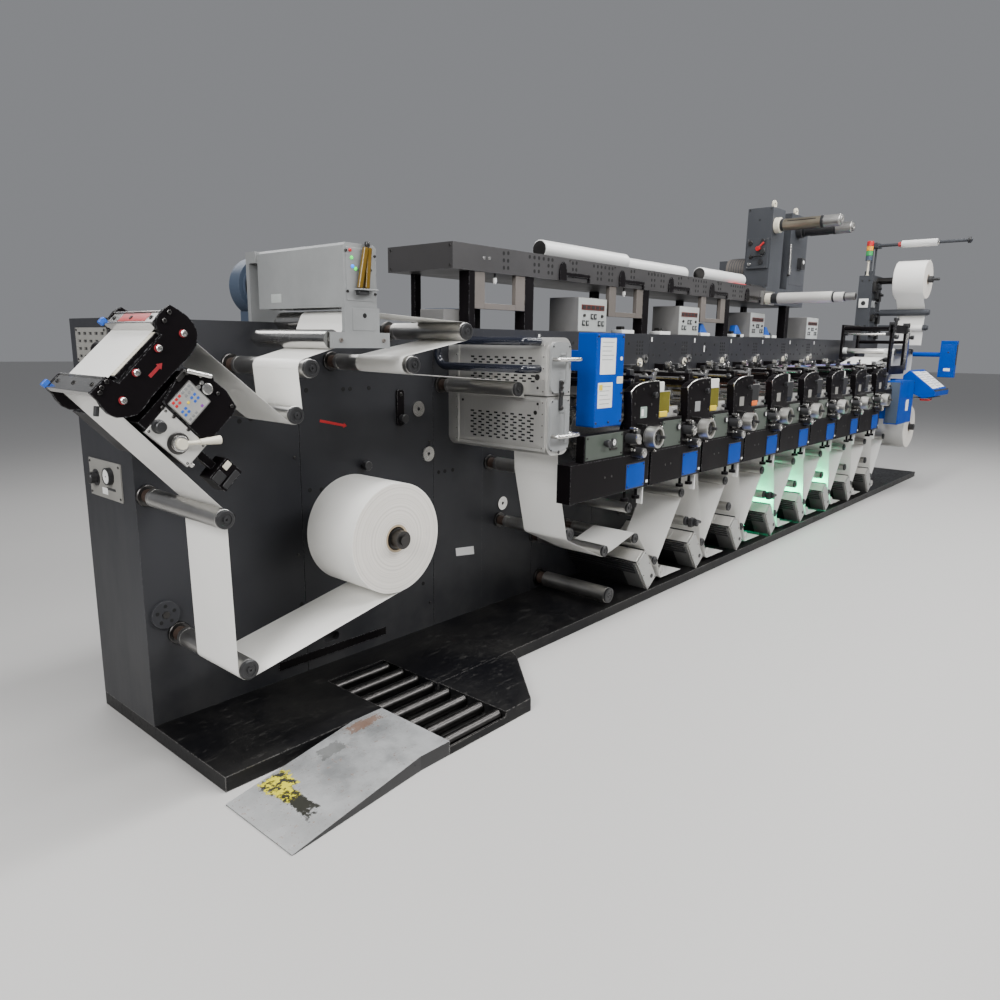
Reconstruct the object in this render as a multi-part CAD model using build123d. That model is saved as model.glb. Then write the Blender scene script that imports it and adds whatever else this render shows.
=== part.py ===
from build123d import *
from math import asin, atan2, cos, degrees, hypot, radians, sin
import os

# A narrow-web printing press, in millimetres. While it is modelled, X runs along the line from the unwind
# end, Y = 0 is the front of the side wall with the operator's side at negative Y, and Z = 0 is the floor.
# At the end every piece is moved so that the origin is under the middle of the whole machine.

# Platform and side wall
platform_length = 7150
platform_height = 45
platform_front = -415
wall_depth = 358
wall_top = 1262
cabinet_end = 1471
wall_end = 6980
seam_width = 3
seam_depth = 3
cabinet_seams = (557, 1179)

# Clearances
fit_gap = 0.3
web_cut = 0.4

# Print stations, measured from the axis of each station's handwheel
station_count = 8
station_pitch = 495
first_station = 1994
unit_front = -480
unit_plate = 40
plate_axis_z = 815
plate_radius = 96
impression_x = 107
impression_z = 700
impression_radius = 60
anilox_x = 60
anilox_z = 939
anilox_radius = 41
cylinder_gap = 0.6
belly_bottom = 588
belly_top = 742
belly_depth = 66

# Web of label paper
web_front = -397
web_back = -171
web_thickness = 0.6

# Rollers
roller_tip = -412
roller_cap = 14
roller_shaft = 11
roller_flange = 10
chill_radius = 22
lead_radius = 24
chill_x = 296
chill_z = 172
lead_x = 20
lead_z = 480
dip_x = 96
dip_z = 322

# Unwind stand
unwind_x = 636
unwind_z = 592
paper_radius = 179
core_bore = 38.1
core_fit = 0.1
chuck_radius = 34
chuck_tip = -440

# Splice table and web guide, in their own sloping frame: U up the table, V square to it
table_x = -148
table_z = 1178
table_slope = 44
table_front = -430
table_plate = 10
table_back = -158
table_roller_u = (-104, 98)
table_roller_v = -23
table_roller_radius = 20
guide_front = -424
guide_panel = 6
chrome_roller = (403, 1211, 27, -1)

# Overhead beam
beam_start = 1289
beam_end = 4300
beam_wall = 6
beam_low = 1490
beam_high = 1592
beam_depth = 385
rung_count = 8
rung_pitch = 376
post_width = 60
post_pitch = 984
post_starts = [1741 + post_pitch * i for i in range(4)]
post_feet = (4, 60)

table_bed = table_roller_v + table_roller_radius
table_web_top = table_bed + fit_gap + web_thickness
station_axes = [first_station + station_pitch * i for i in range(station_count)]
lamp_axes = station_axes
table_frame = Pos(table_x, 0, table_z) * Rot(0, -table_slope, 0)


def block(x, y, z):
    """A box between two corners, each range given as (low, high)."""
    middle = [(low + high) / 2 for low, high in (x, y, z)]
    return Pos(*middle) * Box(x[1] - x[0], y[1] - y[0], z[1] - z[0])


def rounded(x, y, z, radius, along=Axis.Y):
    """A box whose edges along one axis are rounded."""
    box = block(x, y, z)
    return fillet(box.edges().filter_by(along), radius)


def bar(x, z, radius, y):
    """A round bar along Y, over the range y."""
    return Pos(x, (y[0] + y[1]) / 2, z) * Rot(90, 0, 0) * Cylinder(radius, y[1] - y[0])


def tube(x, z, outer, inner, y):
    """A round tube along Y, over the range y."""
    return bar(x, z, outer, y) - bar(x, z, inner, (y[0] - 1, y[1] + 1))


def bar_x(y, z, radius, x):
    """A round bar along X, over the range x."""
    return Pos((x[0] + x[1]) / 2, y, z) * Rot(0, 90, 0) * Cylinder(radius, x[1] - x[0])


def bar_z(x, y, radius, z):
    """A round bar along Z, over the range z."""
    return Pos(x, y, (z[0] + z[1]) / 2) * Cylinder(radius, z[1] - z[0])


def sheet_xz(outline, y):
    """A plate cut to an outline of (x, z) points, over the range y."""
    face = make_face(Polyline(*outline, close=True))
    return extrude(Plane.XZ.offset(-y[1]) * face, y[1] - y[0])


def prism_xy(outline, z):
    """A plate cut to an outline of (x, y) points, over the range z."""
    face = make_face(Polyline(*outline, close=True))
    return extrude(Pos(0, 0, z[0]) * face, z[1] - z[0])


def on_table(shape):
    """A shape drawn in the table's own frame, with U as X and V as Z, in its place."""
    return table_frame * shape


def table_point(u, v):
    """The machine's (x, z) of a point of the table's frame."""
    slope = radians(table_slope)
    x = table_x + u * cos(slope) - v * sin(slope)
    z = table_z + u * sin(slope) + v * cos(slope)
    return x, z


def idler(x, z, radius, tip=roller_tip, wall=0):
    """A roller held at the wall: flange, dead shaft, barrel and a stepped end cap."""
    barrel_start = wall - 46
    roller = bar(x, z, radius + 6, (wall - roller_flange, wall))
    roller += bar(x, z, roller_shaft, (barrel_start, wall - roller_flange))
    roller += bar(x, z, radius, (tip + roller_cap, barrel_start))
    roller += bar(x, z, radius * 0.8, (tip, tip + roller_cap))
    return roller


def tangent(first, second):
    """The straight run of web between two rollers, each (x, z, radius, turn).

    turn is 1 where the web bends left round the roller, and -1 where it bends right.
    """
    x1, z1, r1, turn1 = first
    x2, z2, r2, turn2 = second
    length = hypot(x2 - x1, z2 - z1)
    lean = asin((turn2 * r2 - turn1 * r1) / length)
    heading = atan2(z2 - z1, x2 - x1) - lean
    side = (-sin(heading), cos(heading))
    start = (x1 - turn1 * r1 * side[0], z1 - turn1 * r1 * side[1])
    end = (x2 - turn2 * r2 * side[0], z2 - turn2 * r2 * side[1])
    return start, end, heading


def web_run(start, end, heading):
    """A flat run of web, a hair short of the bends at its two ends."""
    length = hypot(end[0] - start[0], end[1] - start[1]) - 2 * web_cut
    middle = ((start[0] + end[0]) / 2, (start[1] + end[1]) / 2)
    width = web_back - web_front
    strip = Box(length, width, web_thickness)
    place = Pos(middle[0], (web_front + web_back) / 2, middle[1])
    return place * Rot(0, -degrees(heading), 0) * strip


def web_bend(roller, heading_in, heading_out):
    """The web where it bends round a roller."""
    x, z, radius, turn = roller
    start = degrees(heading_in) - 90 * turn
    sweep = (degrees(heading_out) - degrees(heading_in)) * turn % 360 * turn
    inner = radius - web_thickness / 2
    outer = radius + web_thickness / 2
    ring = Circle(outer) - Circle(inner)
    reach = 3 * outer
    steps = max(2, int(abs(sweep) // 40) + 1)
    angles = [radians(start + sweep * i / steps) for i in range(steps + 1)]
    fan = [(0, 0)] + [(reach * cos(a), reach * sin(a)) for a in angles]
    sector = ring & make_face(Polyline(*fan, close=True))
    return Pos(x, 0, z) * extrude(Plane.XZ.offset(-web_back) * sector, web_back - web_front)


def threaded(rollers, start=None, end=None):
    """The whole web over a list of rollers, as flat runs and bends.

    start and end are free points before the first roller and after the last.
    """
    stops = list(rollers)
    if start:
        stops = [(start[0], start[1], 0, 1)] + stops
    if end:
        stops = stops + [(end[0], end[1], 0, 1)]
    runs = [tangent(a, b) for a, b in zip(stops, stops[1:])]
    pieces = [web_run(*run) for run in runs]
    for stop, before, after in zip(stops[1:], runs, runs[1:]):
        pieces.append(web_bend(stop, before[2], after[2]))
    return pieces


def under_web(x, z, radius, turn):
    """A roller of the given size as the web's middle line sees it."""
    return x, z, radius + fit_gap + web_thickness / 2, turn


# Rollers of the infeed, each (x, z, radius, turn)
corner_roller = (97, 322, 29, -1)
front_roller = (33, 760, 26, 1)
table_low_roller = (*table_point(table_roller_u[0], table_roller_v), table_roller_radius, -1)
table_high_roller = (*table_point(table_roller_u[1], table_roller_v), table_roller_radius, -1)
sag_roller = (278, 1006, 25, 1)
rise_roller = (320, 1132, 26, -1)
treat_roller = (490, 1262, 30, -1)
top_roller = (950, 1242, 29, -1)
return_roller = (695, 1137, 27, 1)
entry_roller = (1220, 1042, 27, -1)
dryer_roller = (1512, 698, 28, 1)
low_roller = (1580, 432, 27, 1)
dip_roller = (1830, 313, 26, 1)
climb_roller = (first_station + dip_x, dip_z, 25, -1)
die_roller = (6060, 1172, 24, -1)
turn_roller = (6600, 1172, 24, -1)
matrix_low = (6850, 1383, 25, 1)
matrix_high = (6850, 1518, 29, 1)
wall_rollers = (
    (*corner_roller[:3], -410),
    (*front_roller[:3], -446),
    (*sag_roller[:3], -410),
    (*rise_roller[:3], -428),
    (*top_roller[:3], -410),
    (*return_roller[:3], -428),
    (*entry_roller[:3], -412),
    (*dryer_roller[:3], -412),
    (*low_roller[:3], -400),
    (*dip_roller[:3], -412),
)


def base_platform():
    """The low steel base under the whole line, with a pocket for the loading rollers."""
    slab = block((0, platform_length), (platform_front, wall_depth), (0, platform_height))
    pocket = block(bay_rollers_x, (platform_front - 1, bay_back), (bay_floor, platform_height + 1))
    return slab - pocket


# Loading bay for the paper rolls
ramp_start = -30
ramp_top = 432
strip_end = 548
bay_front = -724
bay_back = -122
bay_floor = 5
bay_rollers_x = (552, 800)
bay_block = ((804, bay_front), (932, bay_front), (1167, -464), (1193, platform_front), (804, platform_front))
bay_roller_radius = 19
bay_roller_rows = 8
ramp_front = -771
ramp_back = -467


def loading_ramp():
    """The sloping sheet-steel ramp with its flat landing strip."""
    profile = ((ramp_start, 0), (ramp_start, 3), (ramp_top, 46), (strip_end, 46), (strip_end, 0))
    ramp = sheet_xz(profile, (ramp_front, platform_front))
    corner = ((ramp_start - 1, ramp_front - 1), (ramp_top, ramp_front - 1), (strip_end + 1, ramp_front - 1),
              (strip_end + 1, bay_front), (ramp_top, bay_front))
    ramp -= prism_xy(corner, (-1, 60))
    rear = ((ramp_start - 1, ramp_back), (ramp_top, platform_front), (ramp_start - 1, platform_front + 1))
    return ramp - prism_xy(rear, (-1, 60))


def loading_bay():
    """The tray under the loading rollers and the block with cut corners at its end."""
    tray = block((strip_end, bay_block[0][0]), (bay_front, platform_front), (0, bay_floor))
    rail = block((strip_end, bay_block[0][0]), (bay_front, bay_front + 6), (0, 26))
    end = prism_xy(bay_block, (0, platform_height))
    return tray + rail + end


def loading_rollers():
    """Eight gravity rollers that lie across the bay."""
    first = bay_front + 6 + bay_roller_radius + 8
    last = bay_back - bay_roller_radius - 6
    step = (last - first) / (bay_roller_rows - 1)
    height = bay_floor + fit_gap + bay_roller_radius
    span = (bay_rollers_x[0] + 2, bay_rollers_x[1] - 2)
    return [bar_x(first + step * i, height, bay_roller_radius, span) for i in range(bay_roller_rows)]


def infeed_cabinet():
    """The closed steel cabinet at the unwind end, with its seams and hand hole."""
    body = block((0, cabinet_end), (0, wall_depth), (platform_height, wall_top))
    for seam in cabinet_seams:
        body -= block((seam - seam_width / 2, seam + seam_width / 2), (-1, seam_depth), (0, wall_top + 1))
    hole = Pos(662, 0, 143) * Rot(90, 0, 0) * extrude(SlotOverall(70, 34), 24, both=True)
    return body - hole


def print_wall():
    """The long side wall that carries the print stations, one panel to each station."""
    body = block((cabinet_end, wall_end), (0, wall_depth), (platform_height, wall_top))
    for axis in station_axes:
        seam = axis - 0.5 * station_pitch + 72
        body -= block((seam - seam_width / 2, seam + seam_width / 2), (-1, seam_depth), (0, wall_top + 1))
    return body


disc_places = ((1098, 952), (1150, 771), (1602, 504), (1740, 540), (1890, 545))
knob_places = ((1005, 921), (824, 762))
flange_place = (58, 391)


def wall_fittings():
    """The small steel discs, knobs and the bolted flange on the front of the wall."""
    pieces = []
    for x, z in disc_places:
        disc = bar(x, z, 30, (-6, 0)) - bar(x, z, 7, (-7, 1))
        pieces.append(disc)
    for axis in station_axes[1:]:
        pieces.append(bar(axis - 275, 1109, 28, (-6, 0)) - bar(axis - 275, 1109, 7, (-7, 1)))
        pieces.append(bar(axis - 215, 1130, 24, (-6, 0)) - bar(axis - 215, 1130, 6, (-7, 1)))
    for x, z in knob_places:
        pieces.append(bar(x, z, 8, (-14, 0)) + bar(x, z, 16, (-34, -14)))
    flange = bar(*flange_place, 42, (-9, 0))
    for i in range(5):
        angle = radians(90 + 72 * i)
        flange -= bar(flange_place[0] + 27 * cos(angle), flange_place[1] + 27 * sin(angle), 5, (-10, -4))
    pieces.append(flange)
    return pieces


def end_plates():
    """The gauge plate and the slotted vent plate on the end face."""
    gauge = block((-4, 0), (78, 301), (730, 845))
    gauge += bar_x(149, 803, 24, (-16, -4))
    gauge += bar_x(253, 787, 17, (-26, -4))
    vent = block((-4, 0), (91, 310), (1135, 1235))
    for row in range(4):
        for column in range(5):
            y = 118 + 41 * column
            z = 1152 + 22 * row
            vent -= block((-5, 1), (y - 11, y + 11), (z - 4, z + 4))
    return [gauge, vent]


def unwind_chuck():
    """The air mandrel that carries the paper roll, with its back flange and three gripping leaves."""
    wall_gap = -fit_gap
    chuck = bar(unwind_x, unwind_z, 26, (web_back + 12, wall_gap))
    chuck += bar(unwind_x, unwind_z, 58, (web_back + 1, web_back + 12))
    chuck += bar(unwind_x, unwind_z, chuck_radius, (web_front - 3, web_back + 1))
    chuck += bar(unwind_x, unwind_z, chuck_radius - 5, (chuck_tip + 8, web_front - 3))
    chuck += bar(unwind_x, unwind_z, 17, (chuck_tip, chuck_tip + 8))
    span = (web_front + 6, web_back - 6)
    grip = bar(0, 0, core_bore - core_fit, span)
    leaf = grip & block((-8, 8), span, (chuck_radius - 4, core_bore))
    for i in range(3):
        chuck += Pos(unwind_x, 0, unwind_z) * Rot(0, 120 * i, 0) * leaf
    return chuck


def paper_roll():
    """The roll of label paper on its cardboard core."""
    return tube(unwind_x, unwind_z, paper_radius, core_bore, (web_front - 3, web_back))


def infeed_idlers():
    """The rollers that lead the web from the roll to the first print station."""
    return [idler(*place) for place in wall_rollers]


def treater_rollers():
    """The driven roller and the chrome lead-in roller under the corona treater."""
    pieces = []
    for (x, z, radius, _), start, end in ((treat_roller, -404, -412), (chrome_roller, -404, -410)):
        pieces.append(bar(x, z, radius, (start, -40)) + bar(x, z, 10, (end, 0)))
    return pieces


table_outline = (
    (132, 19), (139, -2), (144, -25), (143, -49), (134, -69), (110, -87), (83, -92), (12, -90),
    (-57, -90), (-80, -94), (-108, -93), (-125, -82), (-144, -64), (-150, -45), (-148, -24),
    (-143, -10), (-142, 13), (-91, 12), (-87, -4), (-82, -17), (66, -13), (68, 5), (85, 20), (112, 23),
)
table_bed_u = (-76, 66)
table_bed_depth = 11
clamp_ends = (((-141, -92), 14), ((70, 112), 22))
clamp_edge = 4
cross_tube_v = -62


def splice_table():
    """The two side plates of the splice table, its bed, end rollers and cross tubes."""
    front = sheet_xz(table_outline, (table_front, table_front + table_plate))
    rear = sheet_xz(table_outline, (table_back - table_plate, table_back))
    inside = (table_front + table_plate, table_back - table_plate)
    table = front + rear + block(table_bed_u, inside, (table_bed - table_bed_depth, table_bed))
    for u in table_roller_u:
        table += bar(u, table_roller_v, table_roller_radius, (inside[0] + 4, inside[1] - 4))
        table += bar(u, table_roller_v, 9, inside)
    for u in (-60, 60):
        table += bar(u, cross_tube_v, 14, inside)
        table += bar(u, cross_tube_v, 22, (table_back, 0))
    return on_table(table)


def splice_clamps():
    """The two channels that hold the web on the table while it is spliced."""
    pieces = []
    for u, top in clamp_ends:
        span = (table_front + table_plate, table_back - table_plate)
        clamp = rounded(u, span, (table_web_top + fit_gap, top), 2)
        clamp -= block((u[0] + clamp_edge, u[1] - clamp_edge), (span[0] - 1, span[1] + 1), (top - 3, top + 1))
        pieces.append(on_table(clamp))
    return pieces


guide_outline = ((-119, -262), (-119, -108), (-42, -108), (42, -104), (54, -122), (82, -163), (76, -175),
                 (80, -215), (72, -262))
cover_outline = ((-46, -265), (-46, -119), (-42, -118), (45, -98), (54, -122), (86, -163), (80, -175),
                 (84, -215), (74, -261), (54, -267))
keypad_u = (-44, 35)
keypad_v = (-200, -125)
control_outline = ((-50, -266), (-50, -128), (-127, -130), (-122, -265))


def guide_housing():
    """The closed housing of the web guide, between the two passes of web, and its front cover."""
    body = sheet_xz(guide_outline, (guide_front, -40))
    cover = sheet_xz(cover_outline, (guide_front - guide_panel, guide_front))
    neck = block((-60, 40), (-40, 0), (-220, -130))
    return [on_table(body), on_table(cover), on_table(neck)]


def guide_panels():
    """The keypad and the control plate on the front of the guide."""
    face = guide_front - guide_panel
    keypad = rounded(keypad_u, (face - 6, face), keypad_v, 3)
    plate = sheet_xz(control_outline, (face, guide_front))
    knob = bar(-96, -146, 11, (face - 18, face))
    boss = bar(lever_u, lever_v, 20, (guide_front - 16, face))
    return [on_table(keypad), on_table(plate + knob + boss)]


lever_u = -94
lever_v = -208
lever_lean = 43


def guide_lever():
    """The lever that picks which edge the guide follows."""
    face = guide_front - 16 - fit_gap
    hub = bar(0, 0, 13, (face - 16, face))
    arm = Pos(0, face - 8, 0) * Rot(0, 90, 0) * Pos(0, 0, 28) * Cylinder(5, 40)
    grip = Pos(0, face - 8, 0) * Rot(0, 90, 0) * Pos(0, 0, 72) * Cone(7, 11, 52)
    lever = hub + arm + grip
    return on_table(Pos(lever_u, 0, lever_v) * Rot(0, lever_lean, 0) * lever)


def web_sensor():
    """The edge sensor on its arm below the guide."""
    block_part = rounded((-104, -36), (-424, -370), (-388, -330), 5)
    arm = block((-80, -60), (-400, -380), (-330, -262 - fit_gap))
    return on_table(block_part + arm)


def treater_box():
    """The light grey corona treater."""
    body = block((438, 554), (-420, 12), (1300, 1474))
    body = chamfer(body.edges().filter_by(Axis.Y).group_by(Axis.Z)[-1], 8)
    return body - block((452, 540), (-300, -20), (1290, 1330))


def treater_stand():
    """The bottom block and the legs that carry the treater."""
    stand = block((392, 598), (-424, -410), (1187, 1231))
    stand += block((434, 560), (-424, -412), (1231, 1300))
    stand += block((430, 560), (48, 66), (1262, 1475))
    stand += block((430, 560), (12, 48), (1440, 1475))
    return stand


def treater_blower():
    """The round blower behind the treater."""
    blower = bar(523, 1376, 95, (110, 170))
    blower += block((470, 576), (100, 180), (1262, 1300))
    return blower


dryer_x = (1267, 1405)
dryer_front = -500


def dryer_boxes():
    """Two stacked brushed-steel dryer boxes with rounded far edges."""
    upper = block(dryer_x, (dryer_front, 0), (1020, 1228))
    upper = fillet(upper.edges().filter_by(Axis.Y).group_by(Axis.Z)[-1], 45)
    lower = block(dryer_x, (dryer_front, 0), (800, 1016))
    lower = fillet(lower.edges().filter_by(Axis.Y).group_by(Axis.Z)[0], 45)
    return [upper, lower]


def dryer_ends():
    """The end caps of the dryer boxes with their pull bars."""
    pieces = []
    for low, high in ((1030, 1212), (816, 1006)):
        cap = rounded((dryer_x[0] + 10, dryer_x[1] - 10), (dryer_front - 8, dryer_front), (low, high), 30)
        for z in (low + 45, high - 45):
            cap += bar(1336, z, 5, (dryer_front - 34, dryer_front - 8))
        cap += bar_z(1336, dryer_front - 34, 6, (low + 36, high - 36))
        pieces.append(cap)
    return pieces


def dryer_tube():
    """The black bent tube on the side of the upper dryer."""
    path = FilletPolyline((1262 - 12, -470, 1190), (1250, -60, 1190), (1250, -60, 1110), (1250, -470, 1110),
                          radius=30)
    bent = sweep(Plane(path @ 0, z_dir=path % 0) * Circle(10), path)
    for y in (-420, -110):
        for z in (1110, 1190):
            bent += bar_x(y, z, 6, (1250, dryer_x[0]))
    return bent


drive_x = (1600, 1800)
drive_back = -392


def drive_cabinet():
    """The blue cabinet before the first station, on its arm from the wall."""
    body = rounded(drive_x, (-478, drive_back), (880, 1250), 6)
    arm = block((drive_x[0] + 40, drive_x[1] - 40), (drive_back, 0), (1100, 1180))
    return [body, arm]


belly_left = -431
knob_y = -447
belly_right = 46
bay_sill = 884
bay_right = 322
plate_left = -111
skirt_left = -168
skirt_first = -454
skirt_top = bay_sill - 34
crown_clear = 70
crown = anilox_z + anilox_radius + crown_clear
crown_outline = ((plate_left, bay_sill - 8), (-124, crown - 38), (-89, crown - 19), (-41, crown - 7), (34, crown),
                 (105, crown), (112, crown - 48), (112, bay_sill), (bay_right, bay_sill), (bay_right, belly_top))
crosshead_x = (-44, -4)
crosshead_z = (crown - 34, crown + 26)
wall_block_x = (-112, -70)
wall_block_z = (crown - 20, crown + 54)


def station_plates():
    """The operator-side plate of each print station, its crosshead and the block at its wall end."""
    pieces = []
    for i, axis in enumerate(station_axes):
        left = skirt_left if i else skirt_first
        skirt = ((left, belly_top), (left, skirt_top), (plate_left, skirt_top))
        outline = [(axis + x, z) for x, z in (*skirt, *crown_outline)]
        pieces.append(sheet_xz(outline, (unit_front, unit_front + unit_plate)))
        head = (axis + crosshead_x[0], axis + crosshead_x[1])
        pieces.append(block(head, (unit_front + unit_plate, 0), crosshead_z))
        pieces.append(block((axis + wall_block_x[0], axis + wall_block_x[1]), (-60, 0), wall_block_z))
    return pieces


def station_bellies():
    """The closed drive housings under the handwheels, with two mushroom knobs under each."""
    pieces = []
    for i, axis in enumerate(station_axes):
        left = axis + belly_left if i else axis - 540
        pieces.append(block((left, axis + belly_right), (unit_front, unit_front + belly_depth),
                            (belly_bottom, belly_top)))
        for x in (axis - 90, axis + 2):
            stem = bar_z(x, knob_y, 7, (belly_bottom - 40, belly_bottom))
            pieces.append(stem + bar_z(x, knob_y, 18, (belly_bottom - 54, belly_bottom - 40)))
    return pieces


def station_panels():
    """The blue cover squares at the right of each drive housing."""
    face = (unit_front - 3, unit_front)
    return [block((axis - 137, axis + 6), face, (598, 702)) for axis in station_axes]


def print_cylinders():
    """The plate, impression and anilox cylinders of each station."""
    pieces = []
    plate_back = unit_front + unit_plate
    belly_back = unit_front + belly_depth
    span = (web_front - 9, web_back + 20)
    for axis in station_axes:
        for x, z, radius, start in ((0, plate_axis_z, plate_radius - cylinder_gap, plate_back),
                                    (impression_x, impression_z, impression_radius, belly_back),
                                    (anilox_x, anilox_z, anilox_radius - cylinder_gap, plate_back)):
            cylinder = bar(axis + x, z, radius, span) + bar(axis + x, z, 15, (start, 0))
            cylinder += bar(axis + x, z, radius * 0.92, (-90, -40))
            pieces.append(cylinder)
    return pieces


trough_x = (118, 300)
trough_wall = 4
trough_floor = bay_sill
trough_rim = bay_sill + 48
trough_front = unit_front + 12
trough_back = -60
rail_height = 12
guard_width = 108
guard_height = 72


def ink_trays():
    """The open ink trough beside each anilox cylinder, with the splash guard on its front wall."""
    pieces = []
    for axis in station_axes:
        x = (axis + trough_x[0], axis + trough_x[1])
        y = (trough_front, trough_back)
        inside = ((x[0] + trough_wall, x[1] - trough_wall), (y[0] + trough_wall, y[1] - trough_wall))
        trough = block(x, y, (trough_floor, trough_rim))
        trough -= block(*inside, (trough_floor + trough_wall, trough_rim + 1))
        for left in (x[0] + 24, x[1] - 24 - rail_height):
            trough += block((left, left + rail_height), (unit_front + unit_plate, 0),
                            (trough_floor - rail_height, trough_floor))
        trough += block((x[0], x[0] + guard_width), (y[0], y[0] + trough_wall),
                        (trough_rim, trough_rim + guard_height))
        pieces.append(trough)
    return pieces


def regulator_plates():
    """The grey plates with the pressure gauges, right of each handwheel, and the long first one."""
    face = (unit_front - 4, unit_front)
    height = (belly_top + 10, bay_sill - 14)
    first = (first_station + skirt_first + 5, first_station + skirt_first + 272)
    pieces = [block(first, face, (height[0], skirt_top))]
    for axis in station_axes[:-1]:
        pieces.append(block((axis + 150, axis + 316), face, height))
    return pieces


wheel_radius = 46


def handwheel(axis):
    """One aluminium handwheel with a recessed face and a crank knob."""
    back = unit_front - 20 - fit_gap
    wheel = bar(axis, plate_axis_z, wheel_radius, (back - 50, back))
    wheel -= bar(axis, plate_axis_z, wheel_radius - 9, (back - 51, back - 38))
    wheel += bar(axis, plate_axis_z, 15, (back - 46, back - 38))
    wheel += bar(axis + 27, plate_axis_z, 6, (back - 66, back - 38))
    return wheel


stud_places = ((-141, 818), (-90, 755))
stud_radius = 20
stud_length = 57


def wheel_bosses():
    """The fixed bosses behind the handwheels, the register studs beside them and the knobs on top."""
    pieces = []
    for axis in station_axes:
        pieces.append(bar(axis, plate_axis_z, 24, (unit_front - 20, unit_front)))
        for x, z in stud_places:
            pieces.append(bar(axis + x, z, stud_radius, (unit_front - stud_length, unit_front)))
        pieces.append(bar_z(axis + 84, unit_front + 18, 8, (crown, crown + 28))
                      + bar_z(axis + 84, unit_front + 18, 12, (crown + 28, crown + 40)))
        pieces.append(bar(axis + 40, crown + 15, 11, (unit_front + 8, 0))
                      + bar(axis + 40, crown + 15, 13, (unit_front - 8, unit_front + 8)))
    return pieces


def station_idlers():
    """The lead-in rollers, the dip rollers and the chill rollers under the stations."""
    pieces = []
    for axis in station_axes:
        pieces.append(idler(axis + lead_x, lead_z, lead_radius))
        pieces.append(idler(axis + dip_x, dip_z, 25, tip=-408))
        pieces.append(idler(axis + chill_x, chill_z, chill_radius, tip=-404))
        pieces.append(idler(axis + chill_x + 76, 100, 27, tip=-398))
    pieces.append(idler(station_axes[-1] + station_pitch + lead_x, lead_z, lead_radius))
    pieces.append(idler(1880, 97, 36, tip=-412))
    pieces.append(idler(*die_roller[:3], tip=-404))
    pieces.append(idler(*turn_roller[:3], tip=-404))
    return pieces


lamp_width = 84
lamp_height = 184
lamp_lean = 36
lamp_x = 206
lamp_z = 151


def uv_lamps():
    """The tilted ultraviolet lamp boxes under the web, one to each station."""
    pieces = []
    for axis in lamp_axes:
        box = block((-lamp_width / 2, lamp_width / 2), (-404, 0), (-lamp_height / 2, lamp_height / 2))
        box += block((-lamp_width / 2 - 3, lamp_width / 2 + 1), (-414, -404),
                     (-lamp_height / 2 - 2, lamp_height / 2 + 3))
        pieces.append(Pos(axis + lamp_x - 12, 0, lamp_z) * Rot(0, -lamp_lean, 0) * box)
    return pieces


def web_infeed():
    """The web from the paper roll over the splice table and back to the treater's first roller."""
    roll = (unwind_x, unwind_z, paper_radius + fit_gap + web_thickness / 2, -1)
    rollers = [roll, under_web(*corner_roller), under_web(*front_roller), under_web(*table_low_roller),
               under_web(*table_high_roller), under_web(*sag_roller), under_web(*rise_roller)]
    return threaded(rollers)


def web_upper():
    """The web from the treater to the dryers."""
    stops = (rise_roller, chrome_roller, treat_roller, top_roller, return_roller, entry_roller)
    rollers = [under_web(*stop) for stop in stops]
    return threaded(rollers, end=(dryer_x[0] - fit_gap, 1005))


def web_stations():
    """The web from the dryers through the print stations and the die frame, and the waste web."""
    path = [dryer_roller, low_roller, dip_roller, climb_roller]
    for i, axis in enumerate(station_axes):
        if i:
            path.append((axis + impression_x, impression_z, impression_radius, -1))
        path.append((axis + chill_x, chill_z, chill_radius, 1))
        path.append((axis + station_pitch + lead_x, lead_z, lead_radius, 1))
    path += [die_roller, turn_roller, (rewind_x, rewind_z, rewind_radius, 1)]
    printed = threaded([under_web(*stop) for stop in path], start=(1476, 797))
    waste = (matrix_low, matrix_high, (waste_x, waste_z, waste_radius, -1))
    matrix = threaded([under_web(*stop) for stop in waste], start=(matrix_low[0] + 26, wall_top - 32))
    return printed + matrix


def overhead_beam():
    """The channel that runs along the top on posts."""
    beam = block((beam_start, beam_end), (0, beam_depth), (beam_low, beam_high))
    inside = (beam_wall, beam_depth - beam_wall)
    beam -= block((beam_start + beam_wall, beam_end - beam_wall), inside, (beam_low + beam_wall, beam_high + 1))
    for i in range(rung_count):
        x = beam_start + rung_pitch * (i + 0.5)
        beam += block((x - 30, x + 30), inside, (beam_high - beam_wall, beam_high))
    return beam


bracket_width = 320
bracket_side = 61
bracket_low = 1343
bracket_y = (6, 26)
hook_count = 5
hook_start = 1978
hook_pitch = 500
hook_y = (-8, 0)
hook_right = 50
hook_reach = 237
hook_bar = 16
hook_rise = 22
hook_drop = 11
hook_outline = ((-2, beam_low), (-2, beam_low + 43), (8, beam_low + 72), (24, beam_low + 83),
                (hook_right - 8, beam_low + 72), (hook_right, beam_low + 44), (hook_right, beam_low))


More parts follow.
